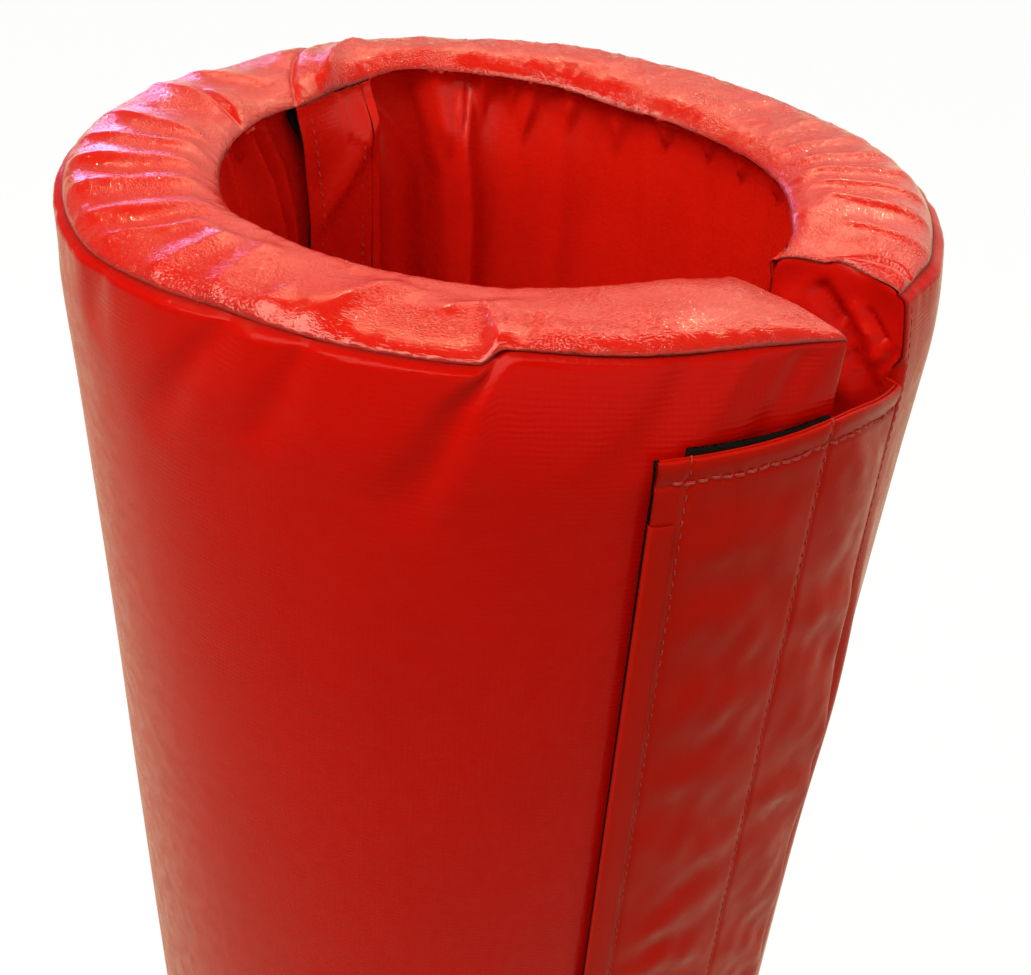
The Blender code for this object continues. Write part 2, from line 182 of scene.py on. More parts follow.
def smooth_curve(at: Array, knots: Sequence[float], values: Sequence[float]) -> Array:
    """A smooth curve through a few knots, without overshoot between them.

    Args:
        at: Places where the curve is read.
        knots: Places of the knots, rising.
        values: Values at the knots.

    Returns:
        The curve's values.
    """
    knots, values = np.asarray(knots, float), np.asarray(values, float)
    rise = np.diff(values) / np.diff(knots)
    before, after = rise[:-1], rise[1:]
    even = np.where(before * after > 0.0, before + after, 1.0)
    inside = np.where(before * after > 0.0, 2.0 * before * after / even, 0.0)
    slopes = np.concatenate([rise[:1], inside, rise[-1:]])
    i = np.clip(np.searchsorted(knots, at) - 1, 0, len(knots) - 2)
    width = knots[i + 1] - knots[i]
    t = np.clip((at - knots[i]) / width, 0.0, 1.0)
    start = (1 + 2 * t) * (1 - t) ** 2 * values[i] + t * (1 - t) ** 2 * width * slopes[i]
    end = t * t * (3 - 2 * t) * values[i + 1] + t * t * (t - 1) * width * slopes[i + 1]
    return start + end


@dataclass(frozen=True)
class Ripple:
    """A smooth uneven surface of about one wavelength, the same at each run."""

    wavelength: float
    seed: int
    stretch: float = 1.0
    waves: int = 18

    def at(self, across: Array, along: Array) -> Array:
        """Heights of about -2 to 2, with a spread of 1.

        Args:
            across: Places across, in mm.
            along: Places along, in mm.

        Returns:
            The heights.
        """
        draw = np.random.default_rng(self.seed)
        total = 0.0
        for _ in range(self.waves):
            heading, phase = draw.uniform(0, math.tau, 2)
            length = self.wavelength * draw.uniform(0.7, 1.4)
            run = across * math.cos(heading) + along * math.sin(heading) / self.stretch
            total = total + np.cos(math.tau * run / length + phase)
        return total * math.sqrt(2 / self.waves)

    def creases(self, across: Array, along: Array, sharpness: float = 0.3) -> Array:
        """Thin raised lines where the surface passes through zero, from 0 to 1."""
        return bell(self.at(across, along), sharpness)


@dataclass(frozen=True)
class Crease:
    """A ridge, or with a height below 0 a valley, that runs over a cloth.

    The path gives (angle, distance) pairs, where distance is a radius on the top ring and a depth under the
    seam on the walls, in mm. The crest is sharp where sharp is 1 and round where it is 0.
    """

    path: tuple[tuple[float, float], ...]
    height: float
    width: float
    end_width: float | None = None
    sharp: float = 0.0
    fade: tuple[float, float] = (4.0, 4.0)
    right_width: float = 1.0

    def rise(self, angle: Array, distance: Array, radius: Array) -> Array:
        """Height of the crease over the cloth, in mm, at each angle and distance.

        Args:
            angle: Angles in degrees.
            distance: Radii or depths in mm, as the path has them.
            radius: The radius of the cloth in mm, which turns angles into lengths.

        Returns:
            The heights in mm.
        """
        angles, places = np.array([p[0] for p in self.path]), np.array([p[1] for p in self.path])
        if places[0] > places[-1]:
            angles, places = angles[::-1], places[::-1]
        part = np.clip((distance - places[0]) / (places[-1] - places[0]), 0.0, 1.0)
        if self.path[0][1] > self.path[-1][1]:
            part = 1.0 - part
        width = self.width + ((self.end_width or self.width) - self.width) * part
        off = np.radians(angle - np.interp(distance, places, angles)) * radius / width
        off = np.where(off < 0, off / self.right_width, off)
        soft = np.exp(-(off**2))
        keen = np.exp(-(np.sqrt(off**2 + 0.04) - 0.2) * 1.3)
        inner = ease((distance - places[0] + self.fade[0]) / (2 * self.fade[0]))
        outer = ease((places[-1] - distance + self.fade[1]) / (2 * self.fade[1]))
        return self.height * (soft + (keen - soft) * self.sharp) * inner * outer


def alike(*rows: tuple, **shared: Any) -> tuple[Crease, ...]:
    """Creases with shared settings, from rows of a path, a height, a width and maybe an end width."""
    return tuple(Crease(*row, **shared) for row in rows)


def total_rise(
    creases: Sequence[Crease], angle: Array, distance: Array, radius: Array
) -> Array:
    """The creases' heights together, in mm.

    Args:
        creases: The creases.
        angle: Angles in degrees.
        distance: Radii or depths in mm, as the creases' paths have.
        radius: Radius in mm at which widths are measured.

    Returns:
        The heights.
    """
    total = np.zeros(np.broadcast(angle, distance).shape)
    for crease in creases:
        total = total + crease.rise(angle, distance, radius)
    return total


@dataclass(frozen=True)
class SeamKnot:
    """How the cover lies at one angle, in mm.

    outer_in, outer_up, inner_in and inner_up move the two top seams inwards and upwards. The ring climbs by
    step close to its seams and by dome towards its middle, and roll is the fold of the panel just under the
    outer seam. swell is how far the panel stands out below it.
    """

    angle: float
    outer_in: float
    outer_up: float
    inner_in: float
    inner_up: float
    step: float
    dome: float
    roll: float
    swell: float


def knots_of(*rows: tuple[float, ...]) -> tuple[SeamKnot, ...]:
    """Seam knots from rows of their values."""
    return tuple(SeamKnot(*row) for row in rows)


@dataclass(frozen=True)
class PadSizes:
    """Sizes of the pad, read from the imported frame, in metres and degrees."""

    outer_radius: float
    inner_radius: float
    seam_low: float
    seam_high: float
    flap_low: float
    flap_high: float
    bend_angle: float
    bend_radius: float
    fold_angle: float

    @property
    def length(self) -> float:
        """The cover's length between its end seams, in mm."""
        return (self.seam_high - self.seam_low) / MM

    @property
    def wall(self) -> float:
        """The wall's thickness, in mm."""
        return (self.outer_radius - self.inner_radius) / MM

    @classmethod
    def from_frame(cls, frame: dict) -> PadSizes:
        """Reads the sizes from the frame's boxes and joints.


        Returns:
            The sizes.
        """
        panel_low, panel_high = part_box("outer_panel_left")
        lining_low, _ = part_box("lining_left")
        flap_low, flap_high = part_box("flap_face_tip")
        places = {joint["name"]: joint["pos_m"] for joint in frame["joints"]}
        bend, fold = places["pad_spread"], places["flap_tip_peel"]
        return cls(
            outer_radius=panel_high.y,
            inner_radius=-lining_low.x - CLOTH,
            seam_low=panel_low.z,
            seam_high=panel_high.z,
            flap_low=flap_low.z,
            flap_high=flap_high.z,
            bend_angle=math.degrees(math.atan2(bend[1], bend[0])),
            bend_radius=math.hypot(bend[0], bend[1]),
            fold_angle=math.degrees(math.atan2(fold[1], fold[0])),
        )


@dataclass
class ClothSheet:
    """A grid of points on a cloth's face, from which pieces of real thickness are cut.

    lay holds each point's place on the flat cloth in metres, across and along, and its distance from the
    nearest seam, which the finishes use for weave, grain and the painted shade that darkens the seams.
    """

    points: Array
    lay: Any
    facing: Array
    thickness: float = CLOTH
    normals: Array = field(init=False)
    turned: bool = field(init=False)

    def __post_init__(self) -> None:
        """Spreads the lay over the grid, and works out the normals, on the side that facing points to."""
        self.lay = np.stack(np.broadcast_arrays(*self.lay), -1)
        normals = np.cross(np.gradient(self.points, axis=0), np.gradient(self.points, axis=1))
        normals /= np.maximum(np.linalg.norm(normals, axis=-1, keepdims=True), 1e-12)
        self.turned = float((normals * self.facing).sum(-1).mean()) < 0
        self.normals = -normals if self.turned else normals

    def cut(self, name: str, first: int = 0, last: int | None = None) -> Piece:
        """Cuts the columns from first to last out of the sheet as one closed thin shell.

        Args:
            name: The piece's name.
            first: The first column.
            last: The last column, or None for the sheet's end.

        Returns:
            The new object.
        """
        columns = slice(first, None if last is None else last + 1)
        face, normals, lay = self.points[columns], self.normals[columns], self.lay[columns]
        return shell_object(name, face, normals, lay, self.thickness, self.turned)


def grid_faces(across: int, along: int, offset: int = 0) -> Array:
    """Corner numbers of the quads of a grid of points."""
    number = np.arange(across * along).reshape(across, along) + offset
    corners = [number[:-1, :-1], number[1:, :-1], number[1:, 1:], number[:-1, 1:]]
    return np.stack(corners, axis=-1).reshape(-1, 4)


def mesh_object(
    name: str, points: Array, quads: Array, lay: Array | None = None, triangles: Array | None = None
) -> Piece:
    """Makes a smooth-shaded mesh object.

    Args:
        name: The object's name.
        points: The vertices.
        quads: Corner numbers of the faces with four corners.
        lay: The vertices' places on the flat cloth, or None.
        triangles: Corner numbers of the faces with three corners, or None.

    Returns:
        The new object, linked to the scene.
    """
    if triangles is None:
        triangles = np.zeros((0, 3), int)
    corners = np.concatenate([quads.ravel(), triangles.ravel()])
    starts = np.concatenate([np.arange(len(quads)) * 4, quads.size + np.arange(len(triangles)) * 3])
    mesh = bpy.data.meshes.new(name)
    mesh.vertices.add(len(points))
    mesh.vertices.foreach_set("co", points.astype(np.float32).ravel())
    mesh.loops.add(len(corners))
    mesh.loops.foreach_set("vertex_index", corners.astype(np.int32))
    mesh.polygons.add(len(starts))
    mesh.polygons.foreach_set("loop_start", starts.astype(np.int32))
    mesh.update(calc_edges=True)
    mesh.polygons.foreach_set("use_smooth", np.ones(len(starts), bool))
    if lay is not None:
        layer = mesh.attributes.new("cloth", "FLOAT_VECTOR", "POINT")
        layer.data.foreach_set("vector", lay.astype(np.float32).ravel())
    obj = bpy.data.objects.new(name, mesh)
    bpy.context.scene.collection.objects.link(obj)
    return obj


def shell_object(
    name: str,
    face: Array,
    normals: Array,
    lay: Array,
    thickness: float,
    turned: bool,
) -> Piece:
    """Makes a closed thin shell from a grid of points and their normals.

    Args:
        name: The piece's name.
        face: Points of the face, as rows and columns.
        normals: Their normals.
        lay: Each point's place on the cloth, and its distance from the nearest seam.
        thickness: Thickness in metres.
        turned: Whether the faces' order is turned round.

    Returns:
        The piece.
    """
    across, along = face.shape[:2]
    count = across * along
    points = np.concatenate([face.reshape(-1, 3), (face - normals * thickness).reshape(-1, 3)])
    front, back = grid_faces(across, along), grid_faces(across, along, count)[:, ::-1]
    number = np.arange(count).reshape(across, along)
    ring = np.concatenate([number[:, 0], number[-1, 1:], number[-2::-1, -1], number[0, -2:0:-1]])
    after = np.roll(ring, -1)
    rim = np.stack([ring + count, after + count, after, ring], axis=-1)
    faces = np.concatenate([front, back, rim])
    if turned:
        faces = faces[:, ::-1]
    obj = mesh_object(name, points, faces, np.concatenate([lay.reshape(-1, 3)] * 2))
    both = np.concatenate([normals.reshape(-1, 3), -normals.reshape(-1, 3)])
    obj.data.normals_split_custom_set_from_vertices(both.astype(np.float32))
    return obj


def seam_rows(width: float, fine: float, coarse: float) -> Array:
    """Places from 0 to 1 across a strip, close together at both edges.

    Args:
        width: The strip's width.
        fine: The spacing at the edges.
        coarse: The spacing in the middle.

    Returns:
        The places.
    """
    half = [0.0]
    step = fine
    while half[-1] < width / 2:
        half.append(half[-1] + step)
        step = min(coarse, step * 1.25)
    near = np.array(half) * (0.5 / half[-1])
    return np.concatenate([near, 1.0 - near[-2::-1]])


def gathers(along: Array, pitch: float, seed: int) -> Array:
    """Uneven small gathers along a seam, of about -2 to 2, for lengths in mm.

    Args:
        along: Lengths along the seam.
        pitch: The mean length of a gather.
        seed: Seed of the random draws.

    Returns:
        The gathers' heights.
    """
    draw = np.random.default_rng(seed)
    total = 0.0
    for _ in range(9):
        length, phase = pitch * draw.uniform(0.72, 1.5), draw.uniform(0, math.tau)
        total = total + np.cos(math.tau * along / length + phase)
    return total * math.sqrt(2 / 9)


def knee(gap: Array, run: float) -> Array:
    """A climb from 0 at a seam to 1, almost straight over the run, and then level."""
    left = 1.0 - gap / run
    return 1.0 - (left + np.sqrt(left * left + 0.05)) / (1.0 + math.sqrt(1.05))


def lip_bulge(gap: Array, run: float = 1.3) -> Array:
    """A small roll beside a seam, which is 1 high at the run."""
    return (gap / run) * np.exp(1.0 - gap / run)


def turned_normals(grid: Array, there: Any, toward: Array) -> Array:
    """A grid's normals, not of length 1, turned so that those at the place there point the given way."""
    normals = np.cross(np.gradient(grid, axis=0), np.gradient(grid, axis=1))
    return normals if float((normals[there] * toward).sum()) > 0 else -normals


def sectors(columns: Array) -> tuple[tuple[str, int, int, float], ...]:
    """Finds the cover's stretches in a grid's columns.

    Args:
        columns: The columns' angles.

    Returns:
        Name, first and last column, and span in degrees of the right, bending and left stretches.
    """
    start, end = (int(np.argmin(np.abs(columns - stop))) for stop in (BEND_START, BEND_END))
    edges = {"right": (0, start), "bend": (start, end), "left": (end, len(columns) - 1)}
    return tuple((name, *edges[name], stop - begin) for name, (begin, stop) in STRETCHES.items())


def seat(piece: Piece, body: Body, slot: Slot, *nodes: str) -> Piece:
    """Rides a piece on its body, and hides the nodes that it stands for.

    Args:
        piece: The piece.
        body: The body that it moves with.
        slot: Not used.
        nodes: Names of the nodes.

    Returns:
        The same piece.
    """
    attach(piece, body.value)
    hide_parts(*nodes)
    return piece


def bend_over_joint(piece: Piece, sizes: PadSizes, slot: Slot, *nodes: str) -> Piece:
    """Fixes a piece's place into its mesh, and hides the nodes that it stands for.

    Args:
        piece: The piece.
        sizes: Not used.
        slot: Not used.
        nodes: Names of the nodes.

    Returns:
        The same piece.
    """
    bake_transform(piece)
    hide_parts(*nodes)
    return piece


def seat_stretch(piece: Piece, end: str, sizes: PadSizes, slot: Slot, node: str) -> Piece:
    """Seats one of the cover's stretches on the pad.

    Args:
        piece: The stretch.
        end: Its name: right, bend or left.
        sizes: The pad's sizes.
        slot: Its material slot.
        node: The name of its nodes, without their ends.

    Returns:
        The piece.
    """
    if end == "bend":
        return bend_over_joint(piece, sizes, slot, f"{node}_left", f"{node}_right")
    return seat(piece, Body.RIGHT if end == "right" else Body.LEFT, slot, f"{node}_{end}")


@dataclass
class Cover:
    """The outer cover: its top ring, outer panel, foot ring and the two faces of the slit."""

    sizes: PadSizes

    # How the seams and the puffed ring lie round the pad.
    knots: tuple[SeamKnot, ...] = knots_of(
        (-82.5, 6.0, 0.0, -5.5, -1.0, 0.5, 1.2, 2.0, 3.0),
        (-77.0, 6.0, 0.0, -4.5, -0.8, 1.0, 2.4, 3.0, 3.8),
        (-71.0, 4.8, 0.0, -3.0, -0.4, 1.4, 3.8, 3.4, 4.4),
        (-64.0, 5.4, -0.5, 0.0, 0.0, 1.8, 5.0, 3.6, 4.8),
        (-50.0, 5.2, -0.4, 2.0, -1.0, 2.0, 5.0, 4.0, 5.2),
        (-34.0, 4.8, -1.6, 3.0, -2.5, 2.4, 3.8, 3.8, 4.6),
        (-12.0, 5.2, -3.8, 4.0, -4.0, 3.4, 3.0, 2.5, 1.4),
        (10.0, 5.0, -4.0, 4.0, -4.0, 3.2, 5.0, 2.5, 1.0),
        (32.0, 5.0, -3.0, 0.0, -1.0, 3.2, 5.2, 2.5, 1.0),
        (52.0, 5.0, -3.0, -4.0, 1.0, 2.8, 4.6, 2.5, 1.0),
        (66.0, 5.0, -2.0, -7.0, 2.5, 4.0, 3.0, 2.5, 1.0),
        (80.0, 5.0, -2.0, -4.0, 0.0, 4.0, 4.0, 2.5, 1.0),
        (97.0, 5.0, -1.6, 1.0, -1.0, 2.4, 3.2, 2.5, 1.0),
        (112.0, 2.8, -0.6, 1.0, 0.0, 2.0, 4.6, 2.5, 2.2),
        (128.0, 1.4, 0.0, 1.0, 0.0, 1.6, 4.5, 2.8, 3.4),
        (146.0, 2.2, -0.3, 0.0, 0.0, 1.4, 4.5, 3.4, 4.2),
        (164.0, 2.4, -0.5, -2.0, 0.0, 1.4, 4.5, 3.4, 3.8),
        (178.0, 6.0, 0.5, 0.0, 0.0, 1.3, 5.2, 3.4, 1.6),
        (191.0, 9.4, 1.5, 0.0, 0.0, 1.2, 5.4, 3.0, 0.4),
        (206.0, 9.0, 1.5, 0.0, 0.0, 1.2, 5.2, 2.8, 0.0),
        (219.5, 9.5, 1.0, 0.0, 0.0, 1.2, 5.0, 3.0, 0.0),
        (222.2, 12.2, 4.6, 0.0, 0.0, 2.0, 3.0, 1.5, 0.0),
        (236.0, 10.0, 3.5, 0.0, 0.0, 3.4, 2.2, 1.0, 0.0),
        (250.0, 8.0, 2.5, 0.0, 0.0, 2.8, 2.7, 1.0, 0.0),
        (257.0, 5.0, 1.5, -2.0, 0.0, 1.8, 2.4, 1.0, 0.0),
        (262.5, 1.4, 0.0, -4.0, 0.0, 0.8, 1.6, 0.4, 0.0),
    )
    dome_power: float = 3.0
    dome_lean: float = 0.3
    inner_lift: float = 2.2
    step_run: float = 3.8
    back_slope: float = 1.8
    roll_run: float = 2.0

    # The groove that a seam pulls, and the shoulder under it.
    seam_lip: float = 0.7
    lip_run: float = 0.6
    shoulder: float = 38.0
    swell_drop: float = 34.0

    # The deeper groove beside the flap's root, in mm.
    root_groove: float = 3.2

    # How far the stitches pull the outer seam up and down, in mm.
    seam_wobble: float = 0.04

    # How far the flap pulls the slit's right edge out of the round, lower down.
    edge_flare: float = 4.0

    # Gathered folds of the top ring, as (angle, radius in mm) paths.
    ring_creases: tuple[Crease, ...] = (
        *alike(
            (((103.4, 146), (98.9, 116)), 1.80, 5.0),
            (((111.0, 147), (115.0, 104)), 2.04, 5.5),
            sharp=1.0, right_width=1.7,
        ),
        *alike(
            (((124.8, 146), (132.5, 106)), 2.16, 5.0),
            (((133.8, 147), (139.0, 106)), 1.80, 4.6),
            sharp=1.0, right_width=1.8,
        ),
        *alike(
            (((142.0, 148), (147.0, 107)), 2.28, 5.0),
            (((151.0, 149), (155.5, 108)), 2.04, 4.8),
            (((159.7, 148), (165.5, 110)), 2.04, 4.8),
            (((166.4, 147), (172.0, 118)), 1.80, 4.6),
            sharp=1.0, right_width=1.9,
        ),
        Crease(((177.5, 146), (177.8, 116)), 2.40, 6.5, sharp=0.9, right_width=1.6),
        *alike(
            (((187.3, 144), (184.5, 112)), 2.28, 6.5),
            (((193.4, 143), (194.4, 130)), 1.44, 4.0),
            sharp=0.9, right_width=1.5,
        ),
        Crease(((198.9, 141), (206.6, 112)), 1.56, 5.0, sharp=0.8, right_width=1.6),
        Crease(((70.5, 136), (86.7, 103)), 2.0, 4.5, sharp=0.5),
        Crease(((78.1, 144), (100.7, 93)), -2.2, 1.8, sharp=0.8),
        Crease(((111.8, 124), (119.4, 99)), -1.6, 2.2, sharp=0.7),
        Crease(((88.0, 96), (75.5, 132)), 1.3, 6.0, sharp=0.8),
        Crease(
            ((190.9, 142), (197.5, 135), (203.2, 124), (208.5, 115)), 1.5, 12.0, sharp=0.9, right_width=1.5
        ),
        Crease(((213.0, 127), (217.0, 121), (221.0, 117)), 1.5, 8.0, sharp=0.8, right_width=1.3),
        Crease(((219.6, 120), (221.4, 140)), 1.5, 2.6, sharp=0.7),
        Crease(((223.5, 140), (226.0, 128)), -1.2, 3.0, sharp=0.3),
        *alike(
            (((-30.0, 141), (-34.0, 106)), 1.56, 5.2),
            (((-38.5, 142), (-42.0, 104)), 1.82, 5.2),
            (((-47.0, 143), (-48.5, 104)), 1.69, 5.2),
            (((-55.0, 144), (-54.0, 108)), 1.95, 5.2),
            (((-63.0, 145), (-61.0, 110)), 1.69, 4.8),
            (((-70.5, 144), (-70.0, 118)), 1.30, 4.0),
            sharp=1.0, right_width=0.5,
        ),
        Crease(((-20.0, 138), (-25.0, 106)), 1.1, 6.0, sharp=0.9, right_width=0.6),
        Crease(
            ((-81.6, 121), (-78.6, 131), (-77.4, 140), (-78.6, 147)), -2.2, 1.0, sharp=0.5, fade=(2.0, 1.0)
        ),
        Crease(((-82.2, 122), (-80.7, 132), (-80.0, 140), (-80.8, 147)), 1.7, 3.2, fade=(3.0, 2.0)),
        *alike(
            (((-10.0, 138), (-7.0, 112)), 0.7, 5.0),
            (((4.0, 139), (1.0, 112)), 0.7, 5.0),
            (((18.0, 140), (22.0, 112)), 0.8, 5.0),
            (((33.0, 140), (30.0, 112)), 0.7, 5.0),
            (((46.0, 140), (50.0, 112)), 0.8, 5.0),
            (((58.0, 142), (60.0, 112)), 0.8, 5.0),
            sharp=0.6,
        ),
    )

    # Folds of the outer panel, as (angle, depth under the seam in mm) paths.
    wall_creases: tuple[Crease, ...] = (
        Crease(((221.9, 0), (218.1, 12), (213.5, 42)), -2.6, 2.4, 7.0, fade=(1.0, 14.0), right_width=1.6),
        Crease(((190.9, 0), (184.1, 24), (181.0, 40)), -1.6, 5.0, 10.0, fade=(2.0, 12.0)),
        Crease(((200.8, 0), (198.1, 18), (196.0, 32)), -1.5, 3.5, 8.0, fade=(2.0, 10.0)),
        Crease(((194.6, 2), (193.0, 22)), 0.8, 5.0, 8.0, fade=(3.0, 10.0)),
        Crease(((257.5, 2), (254.8, 13), (249.0, 40)), -1.3, 5.0, 9.0, fade=(3.0, 12.0)),
        *alike(
            (((250.5, 0), (246.0, 14), (240.5, 36)), 0.9, 5.0, 9.0),
            (((243.0, 0), (239.0, 16), (234.0, 34)), -0.9, 5.0, 9.0),
            fade=(3.0, 10.0),
        ),
        *alike(
            (((170.0, 0), (168.0, 20)), -1.0, 5.0, 9.0),
            (((152.0, 0), (150.0, 18)), -0.8, 5.0, 9.0),
            fade=(2.0, 8.0),
        ),
        *alike(
            (((128.0, 0), (131.0, 24)), -1.2, 5.0, 9.0),
            (((104.0, 0), (101.0, 26)), -1.3, 5.0, 9.0),
            (((72.0, 0), (75.0, 24)), -1.1, 5.0, 9.0),
            (((44.0, 0), (41.0, 28)), -1.2, 5.0, 9.0),
            (((14.0, 0), (17.0, 24)), -1.2, 5.0, 9.0),
            (((-18.0, 0), (-21.0, 28)), -1.2, 5.0, 9.0),
            (((-48.0, 0), (-45.0, 24)), -1.0, 5.0, 9.0),
            fade=(2.0, 10.0),
        ),
    )

    # Pull of the slit's right top edge back into the pad, in degrees.
    slit_bow: float = 1.8

    def __post_init__(self) -> None:
        """Sets up the shared columns."""
        self.columns = stations(
            SLIT_RIGHT, -82.3, -81.7, -75.0, BEND_START, BEND_END, 255.0, 261.0, 262.1, SLIT_LEFT,
            steps=(0.1, 0.2, 0.22, 0.6, 0.6, 0.36, 0.45, 0.25, 0.14),
        )

    def knot_value(self, name: str, angle: Array) -> Array:
        """A knot's value at each angle, in metres."""
        angles = [knot.angle for knot in self.knots]
        return smooth_curve(angle, angles, [getattr(knot, name) for knot in self.knots]) * MM

    def outer_seam(self, angle: Array) -> tuple[Array, Array]:
        """Radius and height of the top outer seam."""
        radius = self.sizes.outer_radius - self.knot_value("outer_in", angle)
        return radius, self.sizes.seam_high + self.knot_value("outer_up", angle)

    def stitch_pull(self, angle: Array, gap: Array) -> Array:
        """How far the stitches pull the cloth beside the outer seam up and down, in metres."""
        arc = np.radians(angle) * self.sizes.outer_radius / MM
        return self.seam_wobble * gathers(arc, 4.6, 77) * np.exp(-gap / 1.8) * MM

    def inner_seam(self, angle: Array) -> tuple[Array, Array]:
        """Radius and height of the top inner seam."""
        radius = self.sizes.inner_radius - self.knot_value("inner_in", angle)
        return radius, self.sizes.seam_high + self.knot_value("inner_up", angle)

    def flare(self, depth: Array) -> Array:
        """How far the flap pulls the slit's right edge outwards, in mm, at depths in mm."""
        length = self.sizes.length
        pull = self.edge_flare * ease((depth - 30.0) / 150.0) * ease((length - depth) / 400.0)
        return pull + 2.2 * bell(depth - 165.0, 50.0)

    def valley(self, run: Array, reach: float) -> Array:
        """The share of the flare at a run in mm from the flap's seam: little, so the flap can fold back."""
        return 0.05 + 0.95 * ease(run / reach)

    def edge_groove(self, angle: Array, depth: Array = 0.0) -> Array:
        """How far the cover sinks at the slit's two edges, and more where the flap starts, in metres."""
        length = self.to_slit(angle) / MM
        at_root = self.root_groove * ease((depth - 20.0) / 6.0) * (angle < 0.0)
        return (self.seam_lip * np.exp(-length / self.lip_run) + at_root * bell(length, 1.3)) * MM

    def ring_points(self, angle: Array, part: Array) -> Array:
        """Points of the top ring.

        Args:
            angle: Angles, as a column.
            part: Places from the outer seam at 0 to the inner seam at 1, as a row.

        Returns:
            The points.
        """
        outer_r, outer_z = self.outer_seam(angle)
        inner_r, inner_z = self.inner_seam(angle)
        radius = outer_r + (inner_r - outer_r) * part
        flat = outer_z + (inner_z - outer_z) * part
        width = (outer_r - inner_r) / MM
        from_outer, from_inner = part * width, (1.0 - part) * width
        step = self.knot_value("step", angle) / MM
        dome = self.knot_value("dome", angle) / MM
        inner_run = self.step_run * (1.0 + self.back_slope * bell(angle - 30.0, 55.0))
        rise = step * knee(from_outer, self.step_run) * knee(from_inner, inner_run)
        near_side = ease((angle - 150.0) / 25.0) * ease((223.0 - angle) / 6.0)
        by_kink = ease((angle - 217.0) / 6.0) * ease((256.0 - angle) / 14.0)
        lean = 1.0 + self.dome_lean * (near_side + by_kink)
        lift = self.inner_lift * near_side
        rise = rise + (dome - 1.1 * lift) * (1.0 - np.abs(2.0 * part**lean - 1.0) ** self.dome_power)
        rise = rise + lift * part * knee(from_inner, self.step_run)
        ring_mm = radius / MM
        arc = np.radians(angle) * RING_MIDDLE
        near = np.minimum(from_outer, from_inner)
        pinned = 1.0 - np.exp(-near / 1.6)
        rise = rise + total_rise(self.ring_creases, angle, ring_mm, ring_mm) * pinned
        rise = rise + self.seam_lip
        for edge, seed, size in ((from_outer, 11, 0.08), (from_inner, 23, 0.06)):
            free = 1.0 - np.exp(-edge / 0.8)
            rise = rise - self.seam_lip * np.exp(-edge / self.lip_run)
            rise = rise + size * gathers(arc, 3.9, seed) * np.exp(-edge / 1.8) * free
            rise = rise + 0.16 * gathers(arc + edge * 0.5, 8.5, seed + 5) * np.exp(-edge / 5.0) * free
        body = ease(near / 9.0)
        rise = rise + 0.20 * Ripple(26.0, 3).at(arc, ring_mm) * body
        rise = rise + self.crumple(angle, arc, ring_mm, from_inner) * ease(near / 5.0)
        overhang = 0.45 + 1.1 * bell(angle - 237.0, 14.0)
        radius = radius + (overhang * lip_bulge(from_outer) - 0.2 * lip_bulge(from_inner)) * MM
        back = np.sin(np.pi * (1.0 - part)) * np.exp(-(angle - SLIT_RIGHT) / 4.0)
        height = flat + rise * MM - self.edge_groove(angle) + self.stitch_pull(angle, from_outer)
        return polar(radius, angle + self.slit_bow * back, height)

    def crumple(
        self, angle: Array, arc: Array, ring_mm: Array, from_inner: Array
    ) -> Array:
        """Small crumples of the top ring, strongest at the back and by the inner seam, in mm.

        Args:
            angle: Angles in degrees.
            arc: Lengths along the ring.
            ring_mm: Radii.
            from_inner: Distances from the inner seam.

        Returns:
            The crumples' heights.
        """
        back = bell(angle - 25.0, 62.0)
        by_seam = np.exp(-from_inner / 14.0) * (1.0 - 0.8 * back)
        patches = ease(Ripple(40.0, 71).at(arc, ring_mm) * 0.5 + 0.3)
        large = Ripple(13.0, 41, stretch=1.4).creases(arc, ring_mm, 0.36) * 0.40 * back
        small = Ripple(6.0, 43).creases(arc, ring_mm, 0.45) * (0.07 + 0.10 * by_seam + 0.04 * back)
        return large + small * (0.3 + 0.7 * patches)

    def wall_radius(self, angle: Array, depth: Array) -> Array:
        """Radius of the outer panel, at depths in mm under its top seam.

        Args:
            angle: Angles in degrees.
            depth: Depths in mm.

        Returns:
            The radii in metres.
        """
        seam_r, _ = self.outer_seam(angle)
        draw = (self.sizes.outer_radius - seam_r) / MM
        length = self.sizes.length
        slack = np.clip(1.0 - depth / self.shoulder, 0.0, 1.0)
        roll = self.knot_value("roll", angle) / MM
        swell = self.knot_value("swell", angle) / MM
        stand_out = swell * (0.75 * np.exp(-depth / self.swell_drop) + 0.25 * np.exp(-depth / 260.0))
        hug = (draw + swell - self.seam_lip - roll) * slack**2 + roll * (1.0 - knee(depth, self.roll_run))
        inward = hug - stand_out + self.seam_lip * np.exp(-depth / self.lip_run)
        past_edge = np.radians(angle - SLIT_RIGHT) * WALL_MIDDLE
        inward = inward - self.flare(depth) * bell(past_edge, 16.0) * self.valley(past_edge, 10.0)
        foot = np.clip(1.0 - (length - depth) / self.shoulder, 0.0, 1.0)
        inward = inward + 5.0 * foot**2 + self.seam_lip * np.exp(-(length - depth) / self.lip_run)
        arc = np.radians(angle) * self.sizes.outer_radius / MM
        near_top = np.exp(-depth / 45.0)
        sway = 0.35 + 0.35 * Ripple(95.0, 5, stretch=2.5).at(arc, depth) * 0.5
        sway = sway + near_top * (0.25 + 0.25 * Ripple(30.0, 7, stretch=1.6).at(arc, depth) * 0.5)
        free = 1.0 - np.exp(-depth / 0.8)
        small = 0.02 * gathers(arc, 3.9, 11) * bell(depth - 2.4, 2.6) * free
        small = small + 0.06 * gathers(arc, 8.5, 16) * np.exp(-depth / 8.0) * free
        folds = total_rise(self.wall_creases, angle, depth, np.full_like(depth, WALL_MIDDLE))
        return self.sizes.outer_radius + (folds + small - inward - np.maximum(sway, 0.0)) * MM

